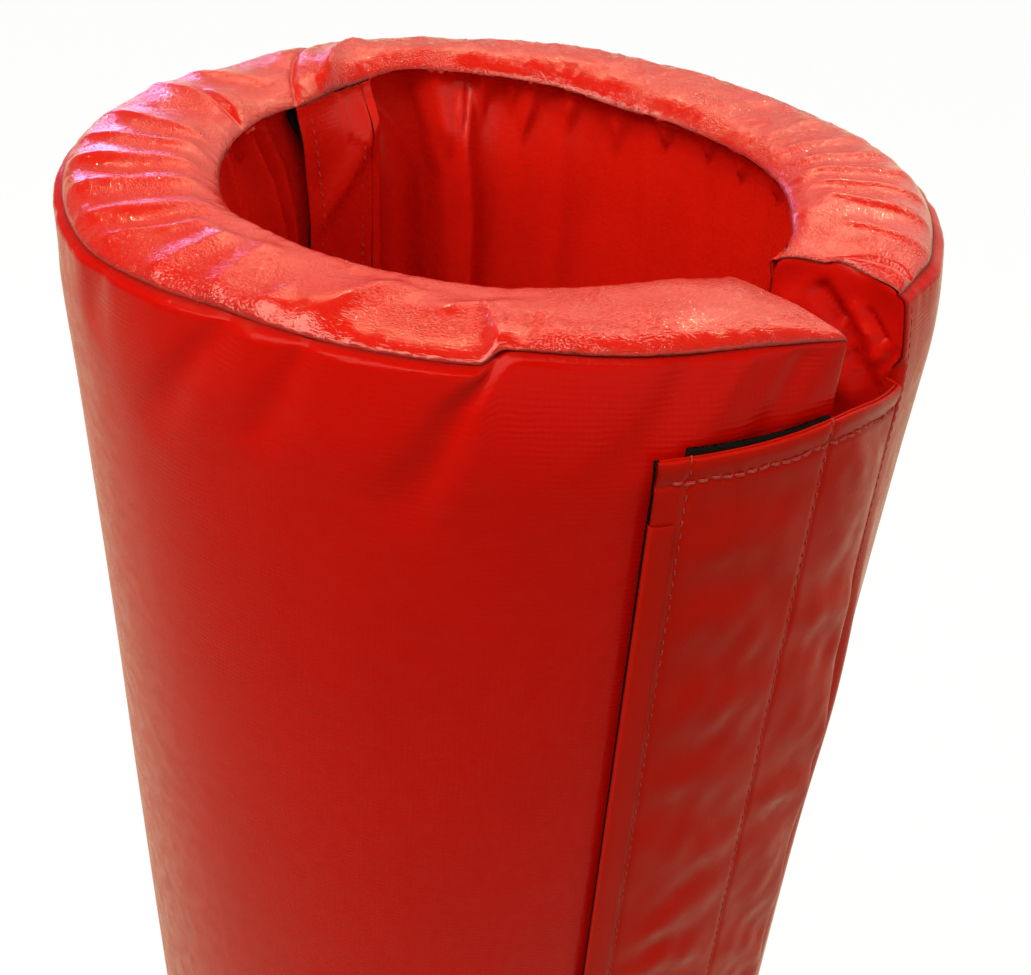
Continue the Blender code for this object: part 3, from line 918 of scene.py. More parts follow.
    def wall_points(self, angle: Array, depth: Array) -> Array:
        """Points of the outer panel, at depths in mm under its top seam.

        Args:
            angle: Angles in degrees.
            depth: Depths in mm.

        Returns:
            The points.
        """
        _, seam_z = self.outer_seam(angle)
        lift = (seam_z - self.sizes.seam_high) * ease(1.0 - depth / 90.0)
        radius = self.wall_radius(angle, depth) - self.edge_groove(angle, depth)
        height = self.sizes.seam_high - depth * MM + lift + self.stitch_pull(angle, depth)
        return polar(radius, angle, height)

    def foot_points(self, angle: Array, part: Array) -> Array:
        """Points of the foot ring, from the outer seam at 0 to the inner seam at 1.

        Args:
            angle: Angles in degrees.
            part: Places from 0 to 1.

        Returns:
            The points.
        """
        outer = self.sizes.outer_radius - 6.1 * MM
        inner = self.sizes.inner_radius + 1.0 * MM
        edge = np.minimum(part, 1.0 - part) * (outer - inner) / MM
        height = self.sizes.seam_low * np.clip(1.0 - edge / 8.0, 0.0, 1.0) ** 2
        arc = np.radians(angle) * RING_MIDDLE
        height = height + 0.15 * MM * (1.0 + gathers(arc, 9.5, 31)) * np.exp(-edge / 3.0)
        return polar(outer + (inner - outer) * part, angle, height)

    def build(self) -> list[Piece]:
        """Builds every piece of the cover and seats it on its body.

        Returns:
            The pieces.
        """
        top, foot = seam_rows(self.sizes.wall, 0.35, 1.35), seam_rows(self.sizes.wall, 0.8, 3.0)
        made = self.ring_pieces("top_ring", "top_cap", self.columns, top, self.ring_points, 1.0)
        made += self.ring_pieces("foot_ring", "bottom_cap", self.columns[::3], foot, self.foot_points, -1.0)
        return made + self.wall_pieces() + self.slit_faces()

    def ring_pieces(
        self, name: str, node: str, columns: Array, part: Array, points: Callable[..., Array], up: float
    ) -> list[Piece]:
        """Builds one of the two end rings in its three stretches.

        Args:
            name: The ring's name.
            node: The name of its nodes.
            columns: The angles of its columns.
            part: The places of its rows, from the outer seam at 0 to the inner seam at 1.
            points: Gives the ring's points for columns and rows.
            up: 1 for a ring that faces up, and -1 for one that faces down.

        Returns:
            The pieces.
        """
        columns = np.unique(np.append(columns, [BEND_START, BEND_END, SLIT_LEFT]))
        angle, part = columns[:, None], part[None, :]
        width = self.sizes.outer_radius - self.sizes.inner_radius
        along = part * width
        seam = np.minimum(np.minimum(along, width - along), self.to_slit(angle))
        lay = (np.radians(angle) * RING_MIDDLE * MM, along, seam)
        sheet = ClothSheet(points(angle, part), lay, np.array([0.0, 0.0, up]))
        made = []
        for end, first, last, span in sectors(columns):
            piece = sheet.cut(f"{name}_{end}", first, last)
            made.append(seat_stretch(piece, end, self.sizes, Slot.COVER, node))
        return made

    def to_slit(self, angle: Array) -> Array:
        """Distance round the pad to the nearest slit edge, in metres."""
        near = np.minimum(np.abs(angle - SLIT_RIGHT), np.abs(SLIT_LEFT - angle))
        return np.radians(near) * self.sizes.outer_radius

    def wall_pieces(self) -> list[Piece]:
        """Builds the outer panel in its three stretches.

        Returns:
            The pieces.
        """
        length = self.sizes.length
        stops = (0.0, 2.0, 6.0, 60.0, 300.0, length - 50.0, length - 4.0, length)
        depth = stations(*stops, steps=(0.4, 0.8, 1.6, 8.0, 24.0, 5.0, 1.0))[None, :]
        columns = np.unique(np.concatenate([self.columns[::2], [BEND_START, BEND_END, SLIT_LEFT]]))
        columns = columns[np.append(True, np.diff(columns) > 1e-6)]
        angle = columns[:, None]
        seam = np.minimum(np.minimum(depth, length - depth) * MM, self.to_slit(angle))
        lay = (np.radians(angle) * self.sizes.outer_radius, (length - depth) * MM, seam)
        sheet = ClothSheet(self.wall_points(angle, depth), lay, polar(1.0, angle, 0.0))
        made = []
        for end, first, last, span in sectors(columns):
            piece = sheet.cut(f"outer_cover_{end}", first, last)
            made.append(seat_stretch(piece, end, self.sizes, Slot.COVER, "outer_panel"))
        return made

    def slit_faces(self) -> list[Piece]:
        """Builds the two panels that close the cover at the slit.

        Returns:
            The pieces.
        """
        made = []
        across = seam_rows(SLIT_DEEP, 0.35, 1.6)[:, None]
        part = np.unique(stations(0.0, 0.02, 0.8, 0.985, 1.0, steps=(0.004, 0.02, 0.004, 0.0012)))[None, :]
        height = self.sizes.length * MM * part
        run = across * SLIT_DEEP * MM
        for side, angle, body in (("right", SLIT_RIGHT, Body.RIGHT), ("left", SLIT_LEFT, Body.LEFT)):
            grid = self.slit_points(side, angle, across, part)
            seam = np.minimum(np.minimum(run, SLIT_DEEP * MM - run), (self.sizes.seam_high - height))
            toward = -around(angle) if side == "right" else around(angle)
            piece = ClothSheet(grid, (run + 0.7, height, np.abs(seam)), toward).cut(f"slit_face_{side}")
            made.append(seat(piece, body, Slot.LINING, f"slit_end_{side}"))
        return made

    def slit_points(self, side: str, angle: float, across: Array, part: Array) -> Array:
        """Points of one face of the slit, from the bore at 0 to the outside at 1, bottom to top.

        Args:
            side: The side of the slit.
            angle: The face's angle in degrees.
            across: Places from 0 to 1, as a column.
            part: Places up the face from 0 to 1, as a row.

        Returns:
            The points.
        """
        column = np.array([[angle]])
        length = self.sizes.length
        depth = length * (1.0 - part)
        top = self.ring_points(column, 1.0 - across.T)[0]
        foot = self.foot_points(column, 1.0 - across.T)[0]
        top_z, foot_z = top[:, 2:3] - 0.2 * MM, foot[:, 2:3] + 0.2 * MM
        z = foot_z + (top_z - foot_z) * part
        wall = self.wall_radius(column, depth) - self.edge_groove(column, depth)
        inner_r, _ = self.inner_seam(column)
        bore = self.sizes.inner_radius + (inner_r - self.sizes.inner_radius) * np.exp(-depth / 25.0)
        radius = bore + (wall - bore) * across
        edge = np.minimum(across, 1.0 - across) * SLIT_DEEP
        under = (top_z - z) / MM
        bow = math.radians(self.slit_bow) if side == "right" else 0.0
        pull = bow * radius / MM * np.sin(np.pi * across) * np.exp(-under / 26.0)
        lean = self.seam_lip * (np.exp(-edge / self.lip_run) + np.exp(-under / self.lip_run))
        swell = 1.6 * np.sin(np.pi * across) * ease(under / 60.0)
        folds = self.slit_folds(across * SLIT_DEEP, under) if side == "right" else 0.0
        grit = 0.25 * Ripple(16.0, 61, stretch=1.5).at(across * SLIT_DEEP, under) * ease(edge / 6.0)
        off = (swell + folds + grit - lean - pull) * MM
        direction = -around(angle) if side == "right" else around(angle)
        return polar(radius, angle, z) + off[..., None] * direction

    def slit_folds(self, across: Array, under: Array) -> Array:
        """Folds of the right slit face.

        Args:
            across: Places in mm from the bore.
            under: Places in mm from the top.

        Returns:
            How far they stand out, in mm.
        """
        total = 0.0
        for start, end, height, width in (
            ((18.0, 9.0), (46.5, 38.0), -5.4, 2.8),
            ((31.0, 12.0), (46.0, 26.0), 2.6, 2.6),
            ((36.0, 12.0), (46.5, 22.0), -3.0, 1.6),
            ((10.0, 16.0), (38.0, 44.0), 2.6, 4.8),
            ((26.0, 36.0), (46.0, 38.0), 2.6, 3.0),
        ):
            along = np.subtract(end, start)
            t = ((across - start[0]) * along[0] + (under - start[1]) * along[1]) / (along @ along)
            t = np.clip(t, 0.0, 1.0)
            gap = np.hypot(across - start[0] - t * along[0], under - start[1] - t * along[1])
            total = total + height * bell(gap, width) * (0.35 + 0.65 * np.sin(np.pi * (0.15 + 0.7 * t)))
        return total


@dataclass
class FoamCore:
    """The foam tube inside the cover: closed-cell foam, cut from a sheet and rolled to a C."""

    sizes: PadSizes
    under_cover: float = 17.0
    clear: float = 5.0
    bore_clear: float = 18.0
    slit_clear: tuple[float, float] = (4.6, 2.6)

    def section(self) -> Array:
        """The tube wall's closed outline, as (radius, height), running outside upwards.

        Returns:
            The outline's points.
        """
        outer = self.sizes.outer_radius - self.clear * MM
        inner = self.sizes.inner_radius + self.bore_clear * MM
        low, high = self.sizes.seam_low + 2 * MM, self.sizes.seam_high - 3 * MM
        slope = self.under_cover * MM
        corners = [
            (outer, low + slope), (outer, high - 2.2 * slope), (outer - slope, high - 1 * MM),
            (inner + 3 * MM, high - 1 * MM), (inner, high - slope), (inner, low + slope / 2),
            (inner + 3 * MM, low - 1 * MM), (outer - slope / 2, low - 1 * MM),
        ]
        return np.array(corners)

    def build(self) -> list[Piece]:
        """Builds the foam in its three stretches.

        Returns:
            The pieces.
        """
        made = []
        right, left = SLIT_RIGHT + self.slit_clear[0], SLIT_LEFT - self.slit_clear[1]
        for end, (start, stop) in STRETCHES.items():
            section = self.section()
            angle = stations(max(start, right), min(stop, left), steps=(2.5,))
            rings = polar(section[None, :, 0], angle[:, None], section[None, :, 1])
            across, along = rings.shape[:2]
            number = np.arange(across * along).reshape(across, along)
            after = np.roll(number, -1, axis=1)
            sides = np.stack([number[:-1], number[1:], after[1:], after[:-1]], -1).reshape(-1, 4)
            caps = [number[0][[0, 1, 2, 7]], number[0][[7, 2, 3, 6]], number[0][[6, 3, 4, 5]]]
            caps += [number[-1][[7, 2, 1, 0]], number[-1][[6, 3, 2, 7]], number[-1][[5, 4, 3, 6]]]
            obj = mesh_object(f"foam_{end}", rings.reshape(-1, 3), np.concatenate([sides, np.array(caps)]))
            obj.data.polygons.foreach_set("use_smooth", np.zeros(len(obj.data.polygons), bool))
            seat_stretch(obj, end, self.sizes, Slot.FOAM, "foam_core")
            made.append(obj)
        return made


@dataclass
class Lining:
    """The lining of the bore, and the access closure in it, where the foam is put in."""

    sizes: PadSizes
    cover: Cover

    # Upright pleats of the loose lining, as (angle, depth in mm) paths. Below 0 they stand into the bore.
    pleats: tuple[Crease, ...] = (
        Crease(
            ((52.0, 10), (52.0, 30), (50.0, 60), (49.5, 330)), -6.0, 5.0, 5.5,
            fade=(8.0, 70.0), right_width=0.8,
        ),
        Crease(
            ((67.0, 5), (62.5, 27), (60.0, 45), (58.5, 95), (58.0, 330)), 15.0, 10.0, 12.0,
            0.2, (4.0, 80.0), 0.35,
        ),
        Crease(((51.0, 2), (52.5, 24)), 2.4, 1.5, 1.0, sharp=0.5, fade=(2.0, 5.0)),
        *alike(
            (((45.5, 8), (44.5, 40), (44.0, 240)), 2.0, 6.0, 9.0),
            (((29.0, 6), (27.5, 60), (27.0, 240)), -1.6, 4.0, 7.0),
            fade=(5.0, 60.0),
        ),
        Crease(((20.0, 4), (18.0, 60)), 1.2, 3.0, 8.0, fade=(4.0, 20.0)),
        Crease(((8.0, 4), (4.0, 60), (3.0, 260)), -1.8, 4.0, 9.0, fade=(5.0, 60.0)),
        Crease(((-10.0, 4), (-12.0, 50)), 1.2, 4.0, 8.0, fade=(4.0, 20.0)),
        Crease(((-30.0, 4), (-28.0, 80)), -1.2, 5.0, 9.0, fade=(5.0, 30.0)),
        Crease(((114.0, 1), (108.5, 25), (105.5, 50), (104.5, 180)), -5.6, 8.0, 11.0, 0.2, (1.0, 50.0), 0.5),
        Crease(((110.8, 3), (105.8, 25), (103.0, 50), (102.0, 180)), 4.6, 2.6, 4.4, fade=(2.0, 50.0)),
        Crease(((105.5, 6), (101.5, 25), (99.6, 50), (99.0, 180)), -2.0, 2.6, 3.4, fade=(3.0, 50.0)),
        Crease(((124.0, 4), (121.0, 60), (120.0, 200)), -3.0, 4.0, 8.0, fade=(4.0, 60.0)),
        Crease(((140.0, 4), (142.0, 70)), 1.4, 4.0, 9.0, fade=(4.0, 30.0)),
        *alike(
            (((165.0, 4), (162.0, 90)), -1.6, 5.0, 9.0),
            (((196.0, 4), (199.0, 90)), 1.4, 5.0, 9.0),
            (((228.0, 4), (225.0, 90)), -1.5, 5.0, 9.0),
            fade=(4.0, 40.0),
        ),
    )

    # Gathered tufts of the lining between the hollows under its top seam, in the same form.
    tufts: tuple[Crease, ...] = (
        *alike(
            (((59.0, 0), (56.0, 30)), -5.0, 7.0, 3.0),
            (((48.3, 0), (48.0, 16)), -3.0, 4.0, 1.6),
            fade=(0.5, 8.0),
        ),
        Crease(((41.5, 0), (41.4, 12)), -2.6, 2.8, 1.4, fade=(0.5, 7.0)),
        Crease(((36.5, 0), (38.2, 22)), -3.2, 6.0, 1.6, fade=(0.5, 8.0)),
        Crease(((27.6, 0), (27.4, 14)), -2.8, 4.0, 1.6, fade=(0.5, 7.0)),
        Crease(((16.5, 0), (15.5, 18)), -3.0, 6.4, 1.8, fade=(0.5, 8.0)),
        *alike(
            (((3.0, 0), (2.4, 12)), -4.0, 3.6, 0.8),
            (((-9.0, 0), (-9.6, 11)), -3.8, 4.0, 0.8),
            (((-22.0, 0), (-22.0, 12)), -3.8, 4.0, 0.8),
            (((-38.0, 0), (-38.0, 10)), -3.8, 4.0, 0.8),
            (((118.0, 0), (117.0, 12)), -3.6, 3.0, 0.8),
            (((131.0, 0), (130.0, 12)), -3.6, 3.0, 0.8),
            fade=(0.5, 3.0),
        ),
    )
    recess: float = 7.0
    room: float = 114.5
    brow: float = 75.2
    seam_roll: float = 0.9

    # How far the placket stands out along the slanting fold that its top corner pulls, in mm.
    drag: float = 2.4

    # The placket and its tapes, from its sewn root to its free edge.
    placket_root: float = 77.5
    tape_start: float = 80.37
    placket_width: float = 31.5
    placket_level: float = 95.4
    row_inset: float = 6.3

    def depths(self) -> Array:
        """Depths in mm under the seam, close together near both ends.

        Returns:
            The depths.
        """
        length = self.sizes.length
        return stations(
            0.0, 2.0, 8.0, 70.0, 300.0, length - 30.0, length - 3.0, length,
            steps=(0.4, 1.0, 2.2, 9.0, 30.0, 6.0, 1.0),
        )

    def radius(self, angle: Array, depth: Array) -> Array:
        """Radius of the lining's face towards the bore, at depths in mm under the inner seam.

        Args:
            angle: Angles in degrees.
            depth: Depths in mm.

        Returns:
            The radii in metres.
        """
        seam_r, _ = self.cover.inner_seam(angle)
        length = self.sizes.length
        base = self.sizes.inner_radius / MM
        settle = (seam_r / MM - base) * bell(depth, 28.0)
        arc = np.radians(angle) * base
        folds = total_rise(self.pleats + self.tufts, angle, depth, np.full_like(depth, base))
        small = 0.30 * gathers(arc, 4.2, 23) * np.exp(-depth / 3.5)
        small = small + 0.35 * gathers(arc, 10.5, 28) * np.exp(-depth / 13.0)
        soft = 0.35 * Ripple(36.0, 51, stretch=3.5).at(arc, depth) * np.exp(-depth / 350.0)
        hollow = self.recess * bell(depth, 28.0) * ease(self.cover.to_slit(angle) / (20.0 * MM))
        loose = (folds + small + hollow) * (1.0 - np.exp(-depth / 1.6))
        by_slit = np.exp(-np.maximum(angle - SLIT_RIGHT, 0.0) / 11.0)
        roll = self.seam_roll * lip_bulge(depth, 1.1) * (1.0 + 0.25 * gathers(arc, 3.2, 61))
        roll = roll + 2.0 * by_slit * lip_bulge(depth, 2.6)
        lip = 0.9 * np.exp(-(length - depth) / self.cover.lip_run) - roll
        total = base + settle + loose + soft + lip
        return (total - np.maximum(total - self.room, 0.0) * 0.9) * MM

    def height(self, angle: Array, depth: Array) -> Array:
        """Height of the lining at depths in mm under the inner seam."""
        _, seam_z = self.cover.inner_seam(angle)
        lift = (seam_z - self.sizes.seam_high) * ease(1.0 - depth / 70.0)
        return self.sizes.seam_high - depth * MM + lift

    def panel(self, angle: Array, rise: Callable | None = None) -> ClothSheet:
        """A stretch of the lining at the given angles.

        Args:
            angle: Angles in degrees.
            rise: A function that gives other radii for its angles, depths and radii, if any.

        Returns:
            The sheet.
        """
        angle, depth = angle[:, None], self.depths()[None, :]
        radius = self.radius(angle, depth)
        if rise:
            radius = rise(angle, depth, radius)
        grid = polar(radius, angle, self.height(angle, depth))
        return self.sheet_of(grid, angle, depth, CLOTH)

    def sheet_of(self, grid: Array, angle: Array, depth: Array, thickness: float) -> ClothSheet:
        """A sheet that faces the bore, whose lay follows its angles and its depths in mm.

        Args:
            grid: The points.
            angle: Angles in degrees.
            depth: Depths in mm.
            thickness: Thickness in metres.

        Returns:
            The sheet.
        """
        length = self.sizes.length
        seam = np.minimum(depth, length - depth) * MM
        lay = (np.radians(angle) * self.sizes.inner_radius, (length - depth) * MM, seam)
        return ClothSheet(grid, lay, -polar(1.0, angle, 0.0), thickness)

    def build(self) -> list[Piece]:
        """Builds the lining's panels and the access closure.

        Returns:
            The pieces.
        """
        root = self.placket_root - 0.2

        def over_tapes(angle: Array, depth: Array, radius: Array) -> Array:
            """Lets the back panel rise to the placket's level at its root."""
            share = ease((angle - self.brow) / 1.6 + 1.0)
            return radius + (self.level_at(angle, depth) - radius) * share

        def under_tape(angle: Array, depth: Array, radius: Array) -> Array:
            """Keeps the left panel behind the tapes that are sewn on it."""
            share = ease((self.loop_edge(depth) + 2.0 - angle) / 1.6)
            behind = self.level_at(angle, depth) + 4.4 * MM
            return radius + (np.maximum(behind, radius) - radius) * share

        right = self.panel(stations(SLIT_RIGHT, -81.5, BEND_START, steps=(0.3, 1.0)))
        back = self.panel(stations(BEND_START, 72.8, root, steps=(0.55, 0.26)), over_tapes)
        stops = (self.tape_start, 99.0, 104.0, 125.0, 261.5, SLIT_LEFT)
        left = self.panel(stations(*stops, steps=(1.5, 0.4, 0.7, 1.1, 0.3)), under_tape)
        made = []
        for end, sheet in (("right", right), ("back", back), ("left", left)):
            piece = sheet.cut(f"lining_panel_{end}")
            if end == "back":
                bend_over_joint(piece, self.sizes, Slot.LINING, "lining_back")
            else:
                seat_stretch(piece, end, self.sizes, Slot.LINING, "lining")
            made.append(piece)
        return made + self.access_closure()

    def level_at(self, angle: Array, depth: Array) -> Array:
        """Radius of the placket's face, drawn to the seam at both its ends.

        Args:
            angle: Angles in degrees.
            depth: Depths in mm.

        Returns:
            The radii in metres.
        """
        length = self.sizes.length
        seam_r, _ = self.cover.inner_seam(angle)
        high = bell(depth, 11.0)
        low = bell(length - depth, 11.0)
        level = self.placket_level * MM + 0 * angle
        level = level + (seam_r - 1.2 * MM - level) * high
        level = level + (self.sizes.inner_radius - 1.5 * MM - level) * low
        under = depth - np.interp(angle, (75.0, 79.5, 86.5, 94.5), (12.0, 24.0, 38.0, 50.0))
        pulled = bell(under, np.where(under < 0.0, 12.0, 5.0))
        pulled = pulled * ease((angle - 70.0) / 6.0) * ease((98.0 - angle) / 8.0)
        return level - self.drag * pulled * (1.0 - high) * MM

    def free_edge(self, depth: Array) -> Array:
        """Angle of the placket's free edge, which leans in under the seam."""
        return 96.3 + 2.3 * np.exp(-depth / 30.0) + 0.12 * np.sin(depth / 9.0)

    def loop_edge(self, depth: Array) -> Array:
        """Angle of the loop tape's edge, which shows beside the placket's edge near the top only."""
        return 95.4 + 4.6 * bell(depth, 14.0)

    def strip(self, name: str, start: Array | float, end: Array, under: float, columns: int) -> Piece:
        """Builds a strip of the access closure.

        Args:
            name: The piece's name.
            start: The angle of its first edge, at each depth.
            end: The angle of its other edge, at each depth.
            under: How far it lies behind the placket's face, in mm.
            columns: How many columns it has.

        Returns:
            The piece.
        """
        down = self.depths()[None, :]
        part = np.linspace(0.0, 1.0, columns)[:, None]
        angle = start * (1 - part) + end[None, :] * part
        level = self.level_at(angle, down) + under * MM
        level = level + (0.7 * np.exp(-(1.0 - part) * self.placket_width) * MM if under == 0.0 else 0.0)
        level = level + 0.25 * Ripple(24.0, 91, stretch=2.0).at(angle * 1.7, down) * MM
        level = level - (self.corner_fold(angle, down) if under == 0.0 else 0.0)
        sunk = 1.4 * np.exp(-down / 2.0) * MM if under > 0.0 else 0.0
        grid = polar(level, angle, self.height(angle, down) - sunk)
        return self.sheet_of(grid, angle, down, TAPE).cut(name)

    def access_closure(self) -> list[Piece]:
        """Builds the placket, its two tapes and its two rows of thread.

        Returns:
            The pieces.
        """
        depth = self.depths()
        edge = self.free_edge(depth)
        face = self.strip("placket_strip", self.placket_root, edge, 0.0, 40)
        hook = self.strip("placket_hook_tape", self.tape_start, edge - 1.6, 1.5, 8)
        loop = self.strip("placket_loop_tape", self.tape_start, self.loop_edge(depth), 3.0, 10)
        at = np.linspace(5.0, self.sizes.length - 5.0, 1400)
        inset = math.degrees(self.row_inset / self.placket_level)
        made = []
        rows = {"edge": self.free_edge(at) - inset, "root": np.full_like(at, self.tape_start - 0.2)}
        for place, angle in rows.items():
            line = polar(self.level_at(angle, at), angle, self.height(angle, at))
            facing = -polar(1.0, angle, 0.0 * at)
            row = stitch_row(f"placket_{place}_stitches", line, facing, pitch=4.4, share=0.6, thread=0.28)
            made.append(seat(row, Body.PLACKET, Slot.THREAD, f"access_{place}_stitch"))
        made.append(seat(face, Body.PLACKET, Slot.LINING, "access_placket"))
        made.append(seat(hook, Body.PLACKET, Slot.TAPE, "access_hook_tape"))
        made.append(seat(loop, Body.LEFT, Slot.TAPE, "access_loop_tape"))
        return made

    def corner_fold(self, angle: Array, depth: Array) -> Array:
        """The small folded corner at the top of the placket's root, as a rise in metres."""
        side = ease((85.0 - angle) / 0.8) * ease((angle - 77.6) / 0.8)
        drop = ease((17.0 + (85.0 - angle) * 1.2 - depth) / 1.6)
        return 0.9 * MM * side * drop


def stitch_row(
    name: str,
    line: Array,
    facing: Array,
    pitch: float = 5.5,
    share: float = 0.74,
    thread: float = 0.42,
    sway: float = 0.0,
) -> Piece:
    """A row of separate stitches along a line on a cloth.

    Args:
        name: The row's name.
        line: Points along the row.
        facing: The cloth's normal at each point.
        pitch: Length of a stitch and its gap, in mm.
        share: The part of the pitch that thread covers.
        thread: The thread's radius in mm.
        sway: How far the needle holes wander from the line, in mm.

    Returns:
        One object that holds the row's stitches as closed tubes.
    """
    along = np.concatenate([[0.0], np.cumsum(np.linalg.norm(np.diff(line, axis=0), axis=1))]) / MM
    count = int(along[-1] // pitch)
    draw = np.random.default_rng(len(name) + count)
    ring, sides = 7, 7
    part = np.linspace(0.0, 1.0, ring)
    start = (np.arange(count) + (1 - share) / 2) * pitch + draw.uniform(-0.15, 0.15, count)
    at = start[:, None] + part[None, :] * pitch * share
    centre, up = (
        np.stack([np.interp(at, along, source[:, axis]) for axis in range(3)], -1)
        for source in (line, facing)
    )
    up /= np.linalg.norm(up, axis=-1, keepdims=True)
    run = np.gradient(centre, axis=1)
    run /= np.linalg.norm(run, axis=-1, keepdims=True)
    side = np.cross(up, run)
    arch = thread * (-1.3 + 1.9 * np.sin(np.pi * np.clip(part * 1.04 - 0.02, 0, 1)) ** 0.45)
    wander = draw.uniform(-1, 1, (count, 2)) * sway
    shift = wander[:, :1] * (1 - part) + wander[:, 1:] * part
    centre = centre + up * (arch * MM)[None, :, None] + side * (shift * MM)[..., None]
    turn = np.linspace(0, math.tau, sides, endpoint=False)
    neck = 0.55 if share < 0.9 else 0.78
    thick = thread * MM * (neck + (1.0 - neck) * np.sin(np.pi * (0.08 + 0.84 * part)) ** 0.5)
    spin = np.cos(turn)[:, None] * side[:, :, None] + np.sin(turn)[:, None] * up[:, :, None]
    points = centre[:, :, None] + spin * thick[None, :, None, None]
    ends = centre[:, [0, -1]]
    body = np.concatenate([points.reshape(count, -1, 3), ends], axis=1)
    number = np.arange(ring * sides).reshape(ring, sides)
    after = np.roll(number, -1, axis=1)
    tube = np.stack([number[:-1], after[:-1], after[1:], number[1:]], -1).reshape(-1, 4)
    near = np.stack([np.full(sides, ring * sides), after[0], number[0]], -1)
    far = np.stack([np.full(sides, ring * sides + 1), number[-1], after[-1]], -1)
    firsts = np.arange(count)[:, None, None] * body.shape[1]
    quads, caps = (
        (faces[None] + firsts).reshape(-1, faces.shape[1]) for faces in (tube, np.concatenate([near, far]))
    )
    return mesh_object(name, body.reshape(-1, 3), quads, triangles=caps)


@dataclass
class ClosingFlap:
    """The flap that closes the slit: two plies with folded hems, its tapes and its rows of thread."""

    sizes: PadSizes
    cover: Cover

    # Sizes in mm. The tape's rows of thread run inside its edges, and tape_show is how far the body's
    # tape reaches past the flap.
    width: float = 104.5
    edge_margin: float = 9.0
    tape_width: float = 50.0
    hem: float = 10.0
    side_hem: float = 7.0
    side_hem_start: float = 21.0
    root_drop: float = 6.0
    row_inset: float = 8.0
    tape_row_inset: float = 0.8
    ply_roll: float = 0.65
    backing_roll: float = 0.42
    thin_ply: float = 0.35
    tape_show: float = -0.9

    @property
    def tall(self) -> float:
        """The flap's height, in mm."""
        return (self.sizes.flap_high - self.sizes.flap_low) / MM

    @property
    def fold(self) -> float:
        """Where the tape starts and the flap folds back, in mm from its seam."""
        return self.width - self.edge_margin - self.tape_width

    @property
    def tape_end(self) -> float:
        """Where the tape ends, in mm from the flap's seam."""
        return self.width - self.edge_margin

    def angle_at(self, across: Array) -> Array:
        """Angle of a place on the flap, in mm from its seam."""
        return SLIT_RIGHT - 0.06 - np.degrees(across * MM / self.sizes.outer_radius)

    def level(self, across: Array, depth: Array) -> Array:
        """Radius of the flap's back, over the wall and over the tapes where it is lapped.

        Args:
            across: Places in mm from the flap's seam.
            depth: Depths in mm under the cover's top seam.

        Returns:
            The radii in metres.
        """
        rise = ease(across / 37.3)
        lapped = 2 * TAPE + 3 * LAYER_GAP
        root = (1.6 - 4.6 * bell(across, 1.3)) * (1.0 - rise)
        pulled = self.cover.flare(depth) * bell(across, 24.0)
        pulled = pulled + 1.4 * bell(across - 10.0, 11.0) * ease((depth - 50.0) / 130.0)
        pulled = pulled * self.cover.valley(across, 14.0)
        return self.sizes.outer_radius - 2 * CLOTH + (2 * CLOTH + lapped) * rise + (root + pulled) * MM

    def waves(self, across: Array, height: Array) -> Array:
        """Soft cockles of the flap between its rows of thread.

        Args:
            across: Places in mm from the flap's seam.
            height: Heights over the floor, in metres.

        Returns:
            How far they stand out, in mm.
        """
        down = (self.sizes.flap_high - height) / MM
        in_tip = np.sin(np.pi * np.clip((across - self.fold) / self.tape_width, 0, 1)) ** 0.8
        phase = down / 33.0 + (across - self.fold) / 150.0
        uneven = Ripple(70.0, 101).at(across, down)
        tip_waves = 0.80 * np.sin(math.tau * phase + 0.9 * uneven) + 0.35
        in_root = np.sin(np.pi * np.clip(across / self.fold, 0, 1)) ** 0.8 * self.cover.valley(across, 14.0)
        phase = down / 46.0 + across / 48.0
        root_waves = 1.0 * np.sin(math.tau * phase + 0.9 * uneven) + 0.55
        near_ends = ease((down - 6.0) / 16.0)
        cockle = 0.15 * Ripple(15.0, 103, stretch=1.5).at(across, down) * (in_tip + in_root)
        return (in_tip * tip_waves + in_root * root_waves + cockle) * (0.25 + 0.75 * near_ends)

    def top_drop(self, across: Array) -> Array:
        """How far the flap's top edge sinks towards its seam, in mm."""
        return self.root_drop * (1.0 - ease(across / 40.0))

    def rows_groove(self, across: Array, down: Array) -> Array:
        """How far the rows of thread pull the face in, in mm."""
        groove = 0.45 * bell(across - (self.fold + self.tape_row_inset), 1.3)
        groove = groove + 0.45 * bell(across - (self.tape_end - self.tape_row_inset), 1.3)
        return groove + 0.5 * bell(down - self.row_inset, 1.2)

    def ply_points(self, across: Array, run: Array, roll: float, behind_by: float) -> Array:
        """Points of a ply whose run goes up its back hem, over, down the front and under.

        Args:
            across: Places in mm from the flap's seam, as a column.
            run: Lengths in mm along the ply's run, as a row.
            roll: The radius of its two turns, in mm.
            behind_by: How far it lies behind the flap's back, in mm.

        Returns:
            The points.
        """
        tall, hem, half_turn = self.tall, self.hem, math.pi * roll
        front_start = hem + half_turn
        front_end = front_start + tall - 2 * roll
        over = np.clip((run - hem) / roll, 0, math.pi)
        under = np.clip((run - front_end) / roll, 0, math.pi)
        parts = [run < hem, run < front_start, run < front_end, run < front_end + half_turn]
        downs = [roll + hem - run, roll - roll * np.sin(over), roll + run - front_start]
        downs.append(tall - roll + roll * np.sin(under))
        down = np.select(parts, downs, tall - roll - (run - front_end - half_turn))
        behind = np.select(parts, [1.0, (1 + np.cos(over)) / 2, 0.0, (1 - np.cos(under)) / 2], 1.0)
        return self.place(across, down, (1.0 - behind) * 2 * roll - behind_by)

